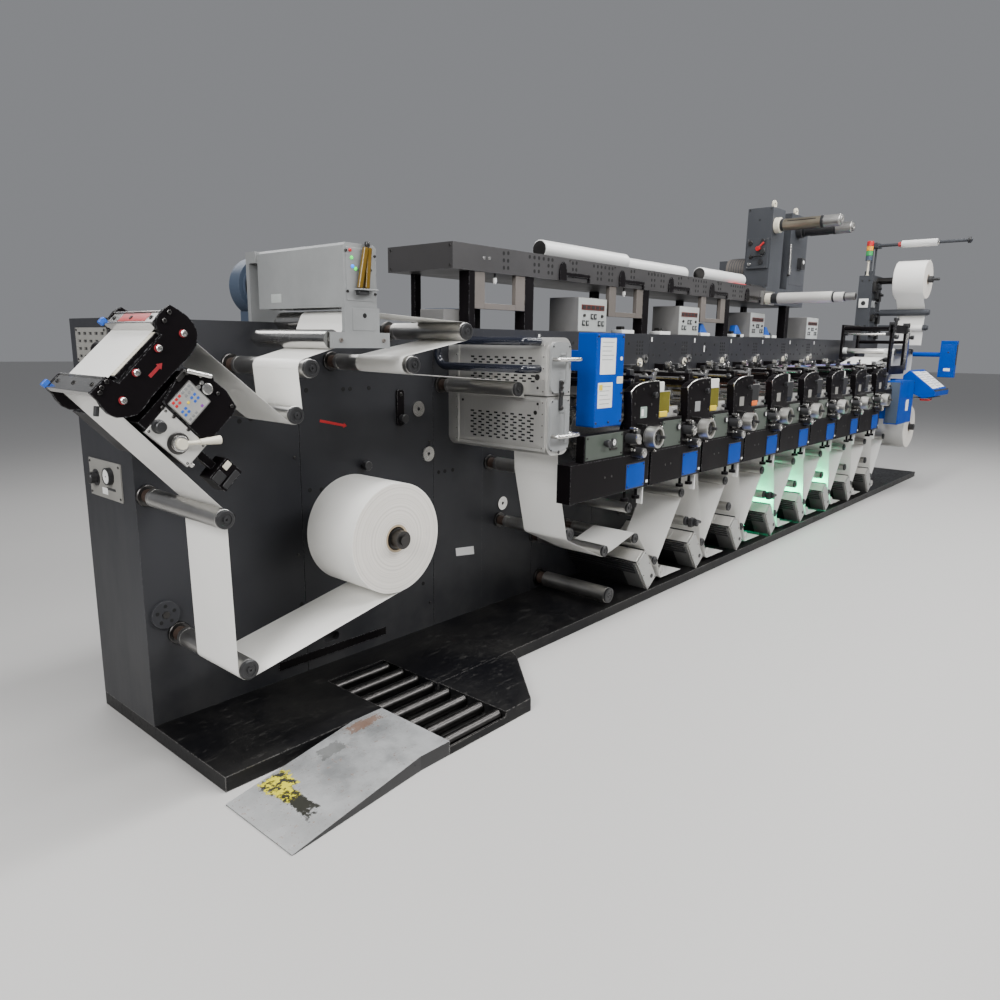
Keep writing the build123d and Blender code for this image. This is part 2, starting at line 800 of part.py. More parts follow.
def beam_supports():
    """The posts under the beam, the square brackets beside them and the hooks on the beam's front."""
    pieces = []
    for x in ((1387, 1421), *((start, start + post_width) for start in post_starts)):
        pieces.append(block(x, post_feet, (wall_top, beam_low)))
        pieces.append(block(x, (beam_depth - 60, beam_depth - 34), (wall_top, beam_low)))
    for right in post_starts[:3]:
        left = right - bracket_width
        pieces.append(block((left, left + bracket_side), bracket_y, (bracket_low, beam_low)))
        pieces.append(block((right - bracket_side, right), bracket_y, (bracket_low, beam_low)))
        pieces.append(block((left + bracket_side, right - bracket_side), bracket_y,
                            (bracket_low, bracket_low + 22)))
    for i in range(hook_count):
        x = hook_start + hook_pitch * i
        pieces.append(sheet_xz([(x + u, z) for u, z in hook_outline], hook_y))
        low = beam_low + hook_rise
        pieces.append(block((x + hook_right, x + hook_reach), hook_y, (low, low + hook_bar)))
        pieces.append(block((x + hook_reach - hook_drop, x + hook_reach), hook_y, (beam_low, low)))
    return pieces


def top_boxes():
    """The electrical boxes on top of the wall."""
    pieces = []
    for low, high in ((2133, 2377), (3116, 3358), (4085, 4315), (5105, 5350)):
        pieces.append(rounded((low, high), (0, 170), (wall_top, wall_top + 162), 4))
    pieces.append(rounded((1301, 1437), (64, 200), (wall_top, wall_top + 76), 4))
    return pieces


tube_radius = 42


def top_tubes():
    """The roll-covered tubes that lie over the beam."""
    pieces = []
    for low, high, y in ((1980, 2700, 120), (2800, 3500, 200), (3560, 4150, 120)):
        pieces.append(bar_x(y, beam_high + tube_radius + fit_gap, tube_radius, (low, high)))
    return pieces


tower_x = (4321, 4529)
tower_two_x = (4654, 4972)
tower_foot = 1600
tower_depth = 175
tower_top = 2118
motor_x = 4425
motor_z = 1728
shaft_radius = 38
shaft_start = -40
shaft_nose = 12
shaft_low = (4376, 2003, -436)
shaft_high = (4780, 2010, -380)


def laminator_tower():
    """The two boxes that carry the expanding shafts, on the end of the beam, with their motor."""
    pieces = [block((beam_end, tower_two_x[1] + 13), (0, beam_depth), (beam_low, tower_foot))]
    for x in (tower_x, tower_two_x):
        pieces.append(block(x, (0, tower_depth), (tower_foot, tower_top)))
        middle = (x[0] + x[1]) / 2
        eye = Pos(middle, 40, tower_top + 30) * Rot(90, 0, 0) * Torus(20, 6)
        pieces.append(eye + bar_z(middle, 40, 7, (tower_top, tower_top + 12)))
    pieces.append(block((tower_x[0] - 20, tower_x[0]), (10, 155), (1724, 1920)))
    pieces.append(bar(motor_x, motor_z, 75, (tower_depth, tower_depth + 150)))
    pieces.append(block((motor_x - 55, motor_x + 55), (tower_depth + 150, beam_depth - 1), (1660, 1790)))
    pieces.append(block((tower_x[1], tower_two_x[0]), (60, 140), (tower_foot, 1700)))
    return pieces


def expanding_shaft(x, z, tip):
    """An air shaft for a roll core, turning in the tower."""
    shaft = bar(x, z, shaft_radius + 12, (shaft_start, -fit_gap))
    shaft += bar(x, z, shaft_radius, (tip + shaft_nose, shaft_start))
    shaft += bar(x, z, shaft_radius - 8, (tip, tip + shaft_nose))
    return shaft


nip_x = 4250
nip_z = beam_low + 28
nip_steps = ((36, -70, -30), (30, -112, -70), (35, -465, -112), (29, -535, -465), (24, -602, -535))


def nip_roller():
    """The long stepped roller under the laminating shafts, and the plate that holds it."""
    roller = bar(nip_x, nip_z, 22, (-110, -24))
    for radius, start, end in nip_steps:
        roller += bar(nip_x, nip_z, radius, (start, end))
    return [roller, block((nip_x - 30, nip_x + 150), (-24, 0), (1480, 1570))]


die_x = (5800, 6250)
die_z = (wall_top - 270, wall_top + 123)
die_sill = 68
die_post = 50
die_bars = ((5815, 1356, 14), (5815, 1312, 8), (5830, 1175, 20), (5830, 1110, 14), (5830, 1030, 20),
            (6235, 1356, 14), (6235, 1250, 14), (6220, 1030, 20))


def die_station():
    """The die-cutting frame: a window frame on each side, joined by cross bars."""
    frame = block((die_x[0] + 40, die_x[1] - 50), (-40, 0), (die_z[0] + 18, die_z[0] + 58))
    for y in ((-60, -40), (-432, -412)):
        window = block((die_x[0] + die_post, die_x[1] - die_post), (y[0] - 1, y[1] + 1),
                       (die_z[0] + die_sill, die_z[1] - 65))
        frame += block(die_x, y, die_z) - window
    for x, z, radius in die_bars:
        frame += bar(x, z, radius, (-412, -60))
    return frame


column_x = (6700, wall_end)
column_back = 140
waste_x = 6840
waste_z = 1800
waste_radius = 165
rewind_x = 6800
rewind_z = 500
rewind_radius = 190
rewind_face = 20
rewind_top = wall_top + 583
rewind_cap_x = (6740, 6800)
crane_x = 6860
crane_clear = 151
crane_z = waste_z + waste_radius + crane_clear
crane_y = 80


def rewind_tower():
    """The finishing end's column, its two waste rollers and the long bar on posts above it."""
    column = block(column_x, (rewind_face, column_back), (wall_top, rewind_top))
    cap = block(rewind_cap_x, (rewind_face + 20, column_back - 30), (rewind_top, rewind_top + 40))
    pieces = [column, cap]
    for x, z, radius, _ in (matrix_low, matrix_high):
        pieces.append(idler(x, z, radius, tip=-440, wall=rewind_face))
    for x in (crane_x - 50, crane_x + 50):
        pieces.append(bar_z(x, crane_y, 9, (rewind_top, crane_z - 20)))
    pieces.append(block((crane_x - 80, crane_x + 80), (crane_y - 40, crane_y + 40), (crane_z - 20, crane_z + 20)))
    pieces.append(bar(crane_x, crane_z, 14, (-700, crane_y - 40)) + bar(crane_x, crane_z, 30, (-430, -150)))
    return pieces


def waste_roll():
    """The wound roll of stripped waste and its shaft."""
    roll = bar(waste_x, waste_z, waste_radius, (-400, -150))
    roll += bar(waste_x, waste_z, 30, (-440, -400))
    roll += bar(waste_x, waste_z, 12, (-490, -440))
    roll += bar(waste_x, waste_z, 30, (-150, rewind_face - fit_gap))
    return roll


def rewind_roll():
    """The finished roll of labels on its rewind shaft."""
    roll = bar(rewind_x, rewind_z, rewind_radius, (web_front, web_back))
    roll += bar(rewind_x, rewind_z, 32, (-440, web_front))
    roll += bar(rewind_x, rewind_z, 32, (web_back, -fit_gap))
    return roll


finishing_x = (5790, 6200)
finishing_back = -440


def finishing_cabinet():
    """The blue cabinet under the die station, held by two side plates."""
    pieces = [rounded(finishing_x, (-540, finishing_back), (600, 945), 8)]
    for x in (finishing_x[0] + 6, finishing_x[1] - 18):
        pieces.append(block((x, x + 12), (finishing_back, 0), (640, 910)))
    return pieces


desk_x = (6244, 6724)
desk_outline = ((-436, 870), (-436, 976), (-480, 1021), (-693, 850), (-690, 815), (-600, 795))
terminal_x = 6820
terminal_back = -575


def console():
    """The sloping operator's desk and the terminal box beside it, each on its arm."""
    face = make_face(Polyline(*desk_outline, close=True))
    desk = Pos(desk_x[0], 0, 0) * extrude(Plane.YZ * face, desk_x[1] - desk_x[0])
    desk_arm = block((6340, 6500), (desk_outline[0][0], 0), (880, 940))
    terminal = rounded((terminal_x - 30, terminal_x + 30), (-700, terminal_back), (955, 1271), 5)
    terminal_arm = bar(terminal_x, 1150, 20, (terminal_back, 0))
    return [desk, desk_arm, terminal, terminal_arm]


beacon_place = (6720, 80)
beacon_foot = 1976
lamp_step = 42


def beacon():
    """The stack of signal lamps on its pole."""
    pole = bar_z(*beacon_place, 8, (rewind_top, beacon_foot))
    for i in range(4):
        low = beacon_foot + lamp_step * i
        pole += bar_z(*beacon_place, 28, (low, low + lamp_step - 2))
        pole += bar_z(*beacon_place, 22, (low + lamp_step - 2, low + lamp_step))
    return pole


def build():
    """Every node of the machine by name, in its place along the line."""
    nodes = {
        "base_platform": base_platform(),
        "loading_ramp": loading_ramp(),
        "loading_bay": loading_bay(),
        "loading_rollers": loading_rollers(),
        "infeed_cabinet": infeed_cabinet(),
        "print_wall": print_wall(),
        "wall_fittings": wall_fittings(),
        "end_plates": end_plates(),
        "unwind_chuck": unwind_chuck(),
        "paper_roll": paper_roll(),
        "infeed_idlers": infeed_idlers(),
        "splice_table": splice_table(),
        "splice_clamps": splice_clamps(),
        "guide_housing": guide_housing(),
        "guide_panels": guide_panels(),
        "guide_lever": guide_lever(),
        "web_sensor": web_sensor(),
        "treater_box": treater_box(),
        "treater_stand": treater_stand(),
        "treater_rollers": treater_rollers(),
        "treater_blower": treater_blower(),
        "dryer_boxes": dryer_boxes(),
        "dryer_ends": dryer_ends(),
        "dryer_tube": dryer_tube(),
        "drive_cabinet": drive_cabinet(),
        "station_plates": station_plates(),
        "station_bellies": station_bellies(),
        "station_panels": station_panels(),
        "print_cylinders": print_cylinders(),
        "ink_trays": ink_trays(),
        "regulator_plates": regulator_plates(),
        "wheel_bosses": wheel_bosses(),
        "station_idlers": station_idlers(),
        "uv_lamps": uv_lamps(),
        "web_infeed": web_infeed(),
        "web_upper": web_upper(),
        "web_stations": web_stations(),
        "overhead_beam": overhead_beam(),
        "beam_supports": beam_supports(),
        "top_boxes": top_boxes(),
        "top_tubes": top_tubes(),
        "laminator_tower": laminator_tower(),
        "expanding_shaft_low": expanding_shaft(*shaft_low),
        "expanding_shaft_high": expanding_shaft(*shaft_high),
        "nip_roller": nip_roller(),
        "die_station": die_station(),
        "rewind_tower": rewind_tower(),
        "waste_roll": waste_roll(),
        "rewind_roll": rewind_roll(),
        "finishing_cabinet": finishing_cabinet(),
        "console": console(),
        "beacon": beacon(),
    }
    for i, axis in enumerate(station_axes, 1):
        nodes[f"handwheel_{i}"] = handwheel(axis)
    return nodes


def gathered(shape):
    """One compound of the solids in a shape or a list of shapes."""
    pieces = shape if isinstance(shape, list) else [shape]
    return Compound([solid for piece in pieces for solid in piece.solids()])


compounds = {name: gathered(shape) for name, shape in build().items()}
boxes = [compound.bounding_box() for compound in compounds.values()]
middle_x = (min(box.min.X for box in boxes) + max(box.max.X for box in boxes)) / 2
middle_y = (min(box.min.Y for box in boxes) + max(box.max.Y for box in boxes)) / 2
centre = Pos(-middle_x, -middle_y, 0)
os.makedirs("parts", exist_ok=True)
for name, compound in compounds.items():
    export_step(centre * compound, f"parts/{name}.step")
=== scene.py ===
import random
from itertools import product
from math import asin, atan2, cos, pi, radians, sin

import bmesh
import bpy
from bpy.props import FloatProperty, FloatVectorProperty, PointerProperty
from mathutils import Matrix, Vector


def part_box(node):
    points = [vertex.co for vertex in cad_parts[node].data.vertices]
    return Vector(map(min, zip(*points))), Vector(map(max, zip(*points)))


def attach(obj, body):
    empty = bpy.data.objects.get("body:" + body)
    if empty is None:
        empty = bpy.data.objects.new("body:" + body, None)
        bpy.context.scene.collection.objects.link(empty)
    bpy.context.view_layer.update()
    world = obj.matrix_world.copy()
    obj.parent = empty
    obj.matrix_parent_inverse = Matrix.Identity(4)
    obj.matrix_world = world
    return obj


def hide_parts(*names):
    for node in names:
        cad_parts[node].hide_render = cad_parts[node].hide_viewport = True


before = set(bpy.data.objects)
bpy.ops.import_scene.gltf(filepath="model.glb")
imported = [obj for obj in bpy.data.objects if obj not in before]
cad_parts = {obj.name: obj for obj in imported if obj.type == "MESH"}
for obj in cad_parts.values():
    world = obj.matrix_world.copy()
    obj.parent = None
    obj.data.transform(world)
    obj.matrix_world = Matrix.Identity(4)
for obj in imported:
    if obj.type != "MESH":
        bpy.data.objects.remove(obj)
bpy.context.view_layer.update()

bl_info = {
    "name": "Label Press Dress",
    "version": (1, 0, 0),
    "blender": (4, 5, 0),
    "location": "View3D > Sidebar > Label Press",
    "description": "Finishes, fittings and lighting for a flexographic label press with eight stations",
    "category": "Object",
}

MM = 0.001

# Points are given in millimetres along the line, back from the wall's front face and up from the floor.
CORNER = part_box("infeed_cabinet")[0]
ORIGIN = Vector((CORNER.x, CORNER.y, 0))


def at(x, y, z):
    """A point of the press in the frame's metres."""
    return Vector((CORNER.x + x * MM, CORNER.y + y * MM, z * MM))


def span(node):
    """The lowest and highest corner of a CAD node, in millimetres from the cabinet's corner."""
    return [(corner - ORIGIN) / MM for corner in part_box(node)]


def solids(node):
    """The corners of each separate solid of a CAD node, in order along the line."""
    mesh = bmesh.new()
    mesh.from_mesh(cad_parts[node].data)
    bmesh.ops.remove_doubles(mesh, verts=mesh.verts, dist=1e-5)
    left = set(mesh.verts)
    found = []
    while left:
        island = [left.pop()]
        for reached in island:
            for edge in reached.link_edges:
                for vert in left.intersection(edge.verts):
                    left.remove(vert)
                    island.append(vert)
        corners = [Vector([pick(vert.co[i] for vert in island) for i in range(3)]) for pick in (min, max)]
        found.append([(corner - ORIGIN) / MM for corner in corners])
    mesh.free()
    return sorted(found, key=lambda pair: (pair[0].x, pair[0].z))


WHEELS = [node for node in sorted(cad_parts) if node.startswith("handwheel_")]
AXES = [(span(node)[0].x + span(node)[1].x) / 2 for node in WHEELS]
WHEEL_Z = (span(WHEELS[0])[0].z + span(WHEELS[0])[1].z) / 2
PLATE_FACE = span("station_plates")[0].y
AT_WALL = -0.2
TABLE_SLOPE = radians(44)
ON_TABLE = Matrix.Translation((-148, 0, 1178)) @ Matrix.Rotation(-TABLE_SLOPE, 4, "Y")

FRONT, BACK, LEFT, UP = (0, -1, 0), (0, 1, 0), (-1, 0, 0), (0, 0, 1)
RED, BLUE, YELLOW, GREEN = "signal_red", "signal_blue", "signal_yellow", "signal_green"
WHITE, BLACK, STEEL, BRIGHT = "card_white", "black_plastic", "dark_steel", "bright_steel"
PALE, IVORY, SILVER, BRUSHED = "light_grey", "ivory_plastic", "control_silver", "brushed"
# The hole finish is near-black painted shade that stands for the dark inside holes and slots, wherever it is
# used.
HOLE_SHADE, PAPER, COVER, ANODISED = "void_black", "label_paper", "cover_blue", "anodised"


def colour(name, description, default):
    return FloatVectorProperty(name=name, description=description, subtype="COLOR", default=default)


class LabelPressColours(bpy.types.PropertyGroup):
    """The paints and papers of the press."""

    cabinet: colour("Cabinet", "Satin paint of the cabinet and the side wall", (0.022, 0.0225, 0.0255))
    stations: colour("Stations", "Black paint of the station plates", (0.0045, 0.0036, 0.0042))
    covers: colour("Covers", "Blue paint of the covers", (0.0003, 0.044, 0.29))
    treater: colour("Treater", "Light grey paint of the treater", (0.205, 0.21, 0.21))
    # The paper is white; its slight warm tint is painted reflected light from a brown floor, and the wound
    # rolls' outsides share it.
    paper: colour("Paper", "The white label paper", (0.80, 0.79, 0.755))
    lamp_glow: colour("Lamp Glow", "Light that leaks from the burning lamps", (0.0, 1.0, 0.42))


class LabelPressStage(bpy.types.PropertyGroup):
    """Where the camera stands and how strong the studio light is."""

    lens: FloatProperty(name="Lens", description="Focal length for a 36 mm wide picture",
                        unit="CAMERA", default=27.59)
    camera_height: FloatProperty(name="Camera Height", description="Height of the camera above the floor",
                                 unit="LENGTH", default=1.210)
    floor_colour: colour("Floor", "The pale studio floor", (0.52, 0.51, 0.495))
    sky: FloatProperty(name="Sky", description="Strength of the even light from all round", default=0.26)


def arithmetic(operation, swapped=False):
    """A method that joins a Value and another operand, or the two swapped, in a Math node."""
    def method(self, other=0.0):
        operands = (other, self) if swapped else (self, other)
        return self.finish.node("Math", {"operation": operation}, dict(enumerate(operands)))
    return method


class Value:
    """A socket in a material that Python arithmetic works on; each operation adds a Math node."""

    def __init__(self, finish, socket):
        self.finish = finish
        self.socket = socket

    __add__ = __radd__ = arithmetic("ADD")
    __mul__ = __rmul__ = arithmetic("MULTIPLY")
    __sub__ = arithmetic("SUBTRACT")
    __rsub__ = arithmetic("SUBTRACT", swapped=True)
    __truediv__ = arithmetic("DIVIDE")
    size = arithmetic("ABSOLUTE")
    most = arithmetic("MAXIMUM")

    def step(self, low, high):
        """0 below low, 1 above high and smooth between them; low may be the larger one."""
        return self.finish.node("MapRange", {"interpolation_type": "SMOOTHSTEP", "clamp": True},
                                {0: self, 1: low, 2: high, 3: 0.0, 4: 1.0})


class Finish:
    """A material in the making."""

    def __init__(self, name):
        self.material = bpy.data.materials.new(name)
        self.material.use_nodes = True
        self.tree = self.material.node_tree
        self.tree.nodes.clear()

    def node(self, kind, settings=None, sockets=None, out=0):
        """Adds a node, sets it up, joins or fills its sockets and returns one of its outputs."""
        made = self.tree.nodes.new("ShaderNode" + kind)
        for name, value in (settings or {}).items():
            setattr(made, name, value)
        for key, value in (sockets or {}).items():
            if isinstance(value, Value):
                self.tree.links.new(value.socket, made.inputs[key])
            else:
                made.inputs[key].default_value = value
        return Value(self, made.outputs[out])

    def place(self):
        """The point on the press, in metres."""
        return self.node("TexCoord", out="Object")

    def parts(self, vector):
        """The three numbers of a vector."""
        split = self.tree.nodes.new("ShaderNodeSeparateXYZ")
        self.tree.links.new(vector.socket, split.inputs[0])
        return [Value(self, output) for output in split.outputs]

    def stretched(self, vector, factors):
        return self.node("VectorMath", {"operation": "MULTIPLY"}, {0: vector, 1: factors})

    def noise(self, vector, scale, detail=3.0, roughness=0.55):
        return self.node("TexNoise", {}, {"Vector": vector, "Scale": scale,
                                          "Detail": detail, "Roughness": roughness})

    def rings(self, value, scale, detail=2.0):
        """Noise along one number."""
        return self.node("TexNoise", {"noise_dimensions": "1D"}, {"W": value, "Scale": scale, "Detail": detail})

    def blend(self, factor, first, second):
        """The first colour where factor is 0 and the second where it is 1."""
        whole = [value if isinstance(value, Value) else (*value, 1.0) for value in (first, second)]
        return self.node("Mix", {"data_type": "RGBA"}, {0: factor, 6: whole[0], 7: whole[1]}, out=2)

    def normal(self):
        return self.node("NewGeometry", out="Normal")

    def worn_edge(self, radius=0.004):
        """1 along sharp edges and 0 on flat faces."""
        soft = self.node("Bevel", {"samples": 4}, {"Radius": radius})
        even = self.node("VectorMath", {"operation": "DOT_PRODUCT"}, {0: soft, 1: self.normal()}, out=1)
        return (1 - even).step(0.02, 0.25)

    def relief(self, height, depth, strength):
        """A bump from a height between 0 and 1, with its depth in metres."""
        return self.node("Bump", {}, {"Height": height, "Distance": depth, "Strength": strength})

    def surface(self, base, rough, metal=0.0, normal=None, **fixed):
        """Ends the material in a Principled shader."""
        sockets = {"Base Color": base if isinstance(base, Value) else (*base, 1.0),
                   "Roughness": rough, "Metallic": metal}
        if normal is not None:
            sockets["Normal"] = normal
        for name, value in fixed.items():
            sockets[name.replace("_", " ").title().replace("Ior", "IOR")] = value
        shader = self.node("BsdfPrincipled", {}, sockets)
        output = self.tree.nodes.new("ShaderNodeOutputMaterial")
        self.tree.links.new(shader.socket, output.inputs["Surface"])
        return self.material


def lighter(colour, factor, lift=0.0):
    """A colour made lighter or darker, with no part above 1."""
    return tuple(min(1.0, part * factor + lift) for part in colour)


def paint(name, colour, gloss, dust, chips, sheen=0.24, bare=(0.30, 0.30, 0.31)):
    """Sprayed machine paint: faint orange peel, handling marks, dust low down and chipped edges."""
    finish = Finish(name)
    place = finish.place()
    height = finish.parts(place)[2]
    cloud = finish.noise(place, 2.2, 5.0, 0.6)
    smear = finish.noise(finish.stretched(place, (1.0, 1.0, 0.25)), 9.0, 4.0, 0.65)
    flecks = finish.noise(place, 160.0, 2.0, 0.7)
    grain = finish.noise(place, 700.0, 2.0)
    worn = finish.worn_edge() * flecks.step(0.45, 0.62) * chips
    tone = finish.blend(cloud.step(0.35, 0.7) * 0.55, colour, lighter(colour, 1.5, 0.0015))
    dusty = height.step(0.45, 0.02) * cloud.step(0.4, 0.65) * dust
    tone = finish.blend(dusty, tone, (0.19, 0.18, 0.16))
    tone = finish.blend(worn, tone, bare)
    rough = gloss + (smear - 0.5) * 0.22 + dusty * 0.4
    return finish.surface(tone, rough, worn * 0.8, finish.relief(grain, 0.00012, 0.35),
                          specular_ior_level=sheen)


def rolled_steel(name, colour, rough, along, lines, stain, metal=1.0):
    """Brushed or ground metal with its grain along one axis, a little dull where it was handled."""
    finish = Finish(name)
    place = finish.place()
    factors = [260.0, 260.0, 260.0]
    factors[along] = 5.0
    grain = finish.noise(finish.stretched(place, tuple(factors)), 1.0, 4.0, 0.7)
    cloud = finish.noise(place, 7.0, 5.0, 0.6)
    tone = finish.blend((1 - cloud.step(0.38, 0.66)) * stain, colour, lighter(colour, 0.62))
    tone = finish.blend(grain.step(0.35, 0.75) * 0.25, tone, lighter(colour, 1.18))
    roughness = rough + (cloud - 0.5) * 0.22 + (grain - 0.5) * 0.18 * lines
    return finish.surface(tone, roughness, metal, finish.relief(grain, 0.00008, 0.5 * lines))


def worn_plate(name):
    """The ramp's scuffed sheet on black sides, with scratches, rust, tar and the rest of a yellow marking."""
    finish = Finish(name)
    place = finish.place()
    x, y, height = finish.parts(place)
    side = finish.parts(finish.normal())[2].step(0.75, 0.45)
    cloud = finish.noise(place, 6.0, 6.0, 0.65)
    scratch = finish.noise(finish.stretched(place, (14.0, 420.0, 1.0)), 1.0, 3.0, 0.6)
    crossed = finish.noise(finish.stretched(place, (380.0, 30.0, 1.0)), 1.0, 3.0, 0.6)
    freckle = finish.noise(place, 85.0, 4.0, 0.7)
    ragged = (freckle - 0.5) * 1.3 + (cloud - 0.5) * 1.5

    def mark(middle, reach, fray=1.0):
        """1 inside a ragged patch round a point of the press, with its half sizes in metres."""
        centre = at(*middle, 0)
        away = ((x - centre.x) / reach[0]).size().most(((y - centre.y) / reach[1]).size())
        return (away + ragged * fray).step(1.05, 0.85)

    rust = cloud.step(0.6, 0.5) * freckle.step(0.58, 0.68) * 0.7
    patch = mark((108, -505), (0.042, 0.042))
    tar = mark((96, -600), (0.026, 0.080)).most(mark((294, -487), (0.045, 0.030)) * 0.7)
    spot = mark((455, -452), (0.060, 0.016), 3.0) * 0.8
    flake = finish.noise(place, 40.0, 5.0, 0.7).step(0.44, 0.5)
    rest = mark((98, -560), (0.030, 0.045)) * freckle.step(0.50, 0.56)
    tone = finish.blend(cloud.step(0.32, 0.68), (0.32, 0.33, 0.335), (0.60, 0.61, 0.615))
    for mask, shown in ((scratch.step(0.58, 0.72) * 0.5, (0.70, 0.71, 0.715)),
                        (crossed.step(0.62, 0.74) * 0.4, (0.12, 0.12, 0.12)),
                        # Painted reflection: the sheet is made much lighter within 34 mm of the floor.
                        (height.step(0.034, 0.004) * 0.5, (0.86, 0.865, 0.86)),
                        (rust, (0.16, 0.065, 0.025)), (spot, (0.13, 0.055, 0.022)),
                        (tar.most(patch), (0.025, 0.025, 0.02)),
                        ((patch * flake).most(rest), (0.62, 0.55, 0.02)),
                        (side * (1 - finish.worn_edge(0.0025)), (0.010, 0.010, 0.011))):
        tone = finish.blend(mask, tone, shown)
    rough = 0.36 + (cloud - 0.5) * 0.3 + rust * 0.4 + patch * 0.2
    metal = 0.6 * (1 - patch.most(tar).most(spot)) * (1 - rust) * (1 - side)
    return finish.surface(tone, rough, metal, finish.relief(scratch + crossed, 0.0001, 0.5))


def floor_paint(name):
    """The platform's black paint, scuffed to grey where the rolls come on to it."""
    finish = Finish(name)
    place = finish.place()
    cloud = finish.noise(place, 3.1, 6.0, 0.65)
    scuff = finish.noise(finish.stretched(place, (18.0, 60.0, 60.0)), 1.0, 5.0, 0.7)
    fleck = finish.noise(place, 120.0, 3.0, 0.7)
    tone = finish.blend(cloud.step(0.35, 0.7), (0.004, 0.004, 0.005), (0.016, 0.0155, 0.015))
    tone = finish.blend(scuff.step(0.56, 0.7) * 0.55, tone, (0.05, 0.048, 0.045))
    worn = finish.worn_edge(0.006) * (fleck + cloud * 0.5).step(0.62, 0.86)
    tone = finish.blend(worn, tone, (0.28, 0.27, 0.26))
    rough = 0.36 + (cloud - 0.5) * 0.3 + scuff.step(0.5, 0.7) * 0.2
    return finish.surface(tone, rough, worn * 0.8, finish.relief(fleck, 0.0002, 0.3), specular_ior_level=0.12)


def web_paper(name, colour):
    """Coated label paper: smooth, faintly glossy and never quite flat."""
    finish = Finish(name)
    place = finish.place()
    swell = finish.noise(finish.stretched(place, (1.5, 6.0, 1.5)), 1.0, 2.0)
    fibre = finish.noise(place, 900.0, 2.0)
    cloud = finish.noise(place, 4.0, 3.0)
    tone = finish.blend(cloud.step(0.3, 0.75) * 0.6, colour, lighter(colour, 0.93))
    normal = finish.relief(swell + fibre * 0.01, 0.003, 0.35)
    return finish.surface(tone, 0.36 + (cloud - 0.5) * 0.1, 0.0, normal, coat_weight=0.12)


def roll_paper(name, colour, node):
    """A wound roll: the outside is a smooth sheet and the ends show the turns as fine rings."""
    finish = Finish(name)
    place = finish.place()
    x, _, z = finish.parts(place)
    low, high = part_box(node)
    middle = (low + high) / 2
    size = high.z - middle.z
    radius = finish.node("VectorMath", {"operation": "LENGTH"}, {
        0: finish.node("CombineXYZ", {}, {0: x - middle.x, 2: z - middle.z})}, out=1)
    outside = radius.step(size - 0.002, size - 0.0005)
    fine = finish.rings(radius, 1900.0)
    coarse = finish.rings(radius, 150.0, 4.0)
    broad = finish.rings(radius, 38.0, 2.0)
    smear = finish.noise(place, 14.0, 4.0)
    tone = finish.blend(coarse.step(0.38, 0.72) * 0.8, (0.74, 0.705, 0.65), (0.57, 0.54, 0.49))
    for mask, shown in ((broad.step(0.58, 0.72) * 0.5, (0.45, 0.42, 0.375)),
                        (fine.step(0.55, 0.8) * 0.35, (0.84, 0.83, 0.81)),
                        (smear.step(0.55, 0.8) * 0.25, (0.50, 0.47, 0.42)),
                        (radius.step(0.0455, 0.0450), (0.42, 0.33, 0.22)), (outside, colour)):
        tone = finish.blend(mask, tone, shown)
    bumps = (fine * 0.5 + coarse) * (1 - outside)
    return finish.surface(tone, 0.62 - outside * 0.24, 0.0, finish.relief(bumps, 0.0006, 0.45))


def printed_paper(name):
    """A strip of plain colour bands in pink, violet and blue, as a press prints while it is set up."""
    finish = Finish(name)
    place = finish.place()
    x, y, _ = finish.parts(place)
    bands = finish.rings(x, 5.0, 1.0)
    smear = finish.noise(place, 20.0, 3.0)
    tone = finish.blend(bands.step(0.40, 0.46), (0.62, 0.16, 0.34), (0.30, 0.22, 0.60))
    tone = finish.blend(bands.step(0.55, 0.60), tone, (0.06, 0.30, 0.62))
    tone = finish.blend(finish.rings(y, 26.0, 0.0).step(0.56, 0.62) * 0.7, tone, (0.80, 0.80, 0.80))
    return finish.surface(tone, 0.32 + (smear - 0.5) * 0.1, 0.0, finish.relief(smear, 0.0004, 0.3))


def plastic(name, colour, rough=0.38):
    """Moulded plastic with a fine grain and a few dull patches."""
    finish = Finish(name)
    place = finish.place()
    grain = finish.noise(place, 1400.0, 2.0)
    cloud = finish.noise(place, 24.0, 4.0)
    tone = finish.blend(cloud.step(0.4, 0.75) * 0.3, colour, lighter(colour, 1.3, 0.01))
    return finish.surface(tone, rough + (cloud - 0.5) * 0.2, 0.0, finish.relief(grain, 0.00006, 0.4))


def glow(name, colour, strength):
    """A burning lamp or signal light."""
    finish = Finish(name)
    cloud = finish.noise(finish.place(), 30.0, 2.0)
    tone = finish.blend(cloud.step(0.3, 0.7) * 0.3, colour, lighter(colour, 0.6))
    return finish.surface(tone, 0.3, emission_color=(*colour, 1.0), emission_strength=strength)


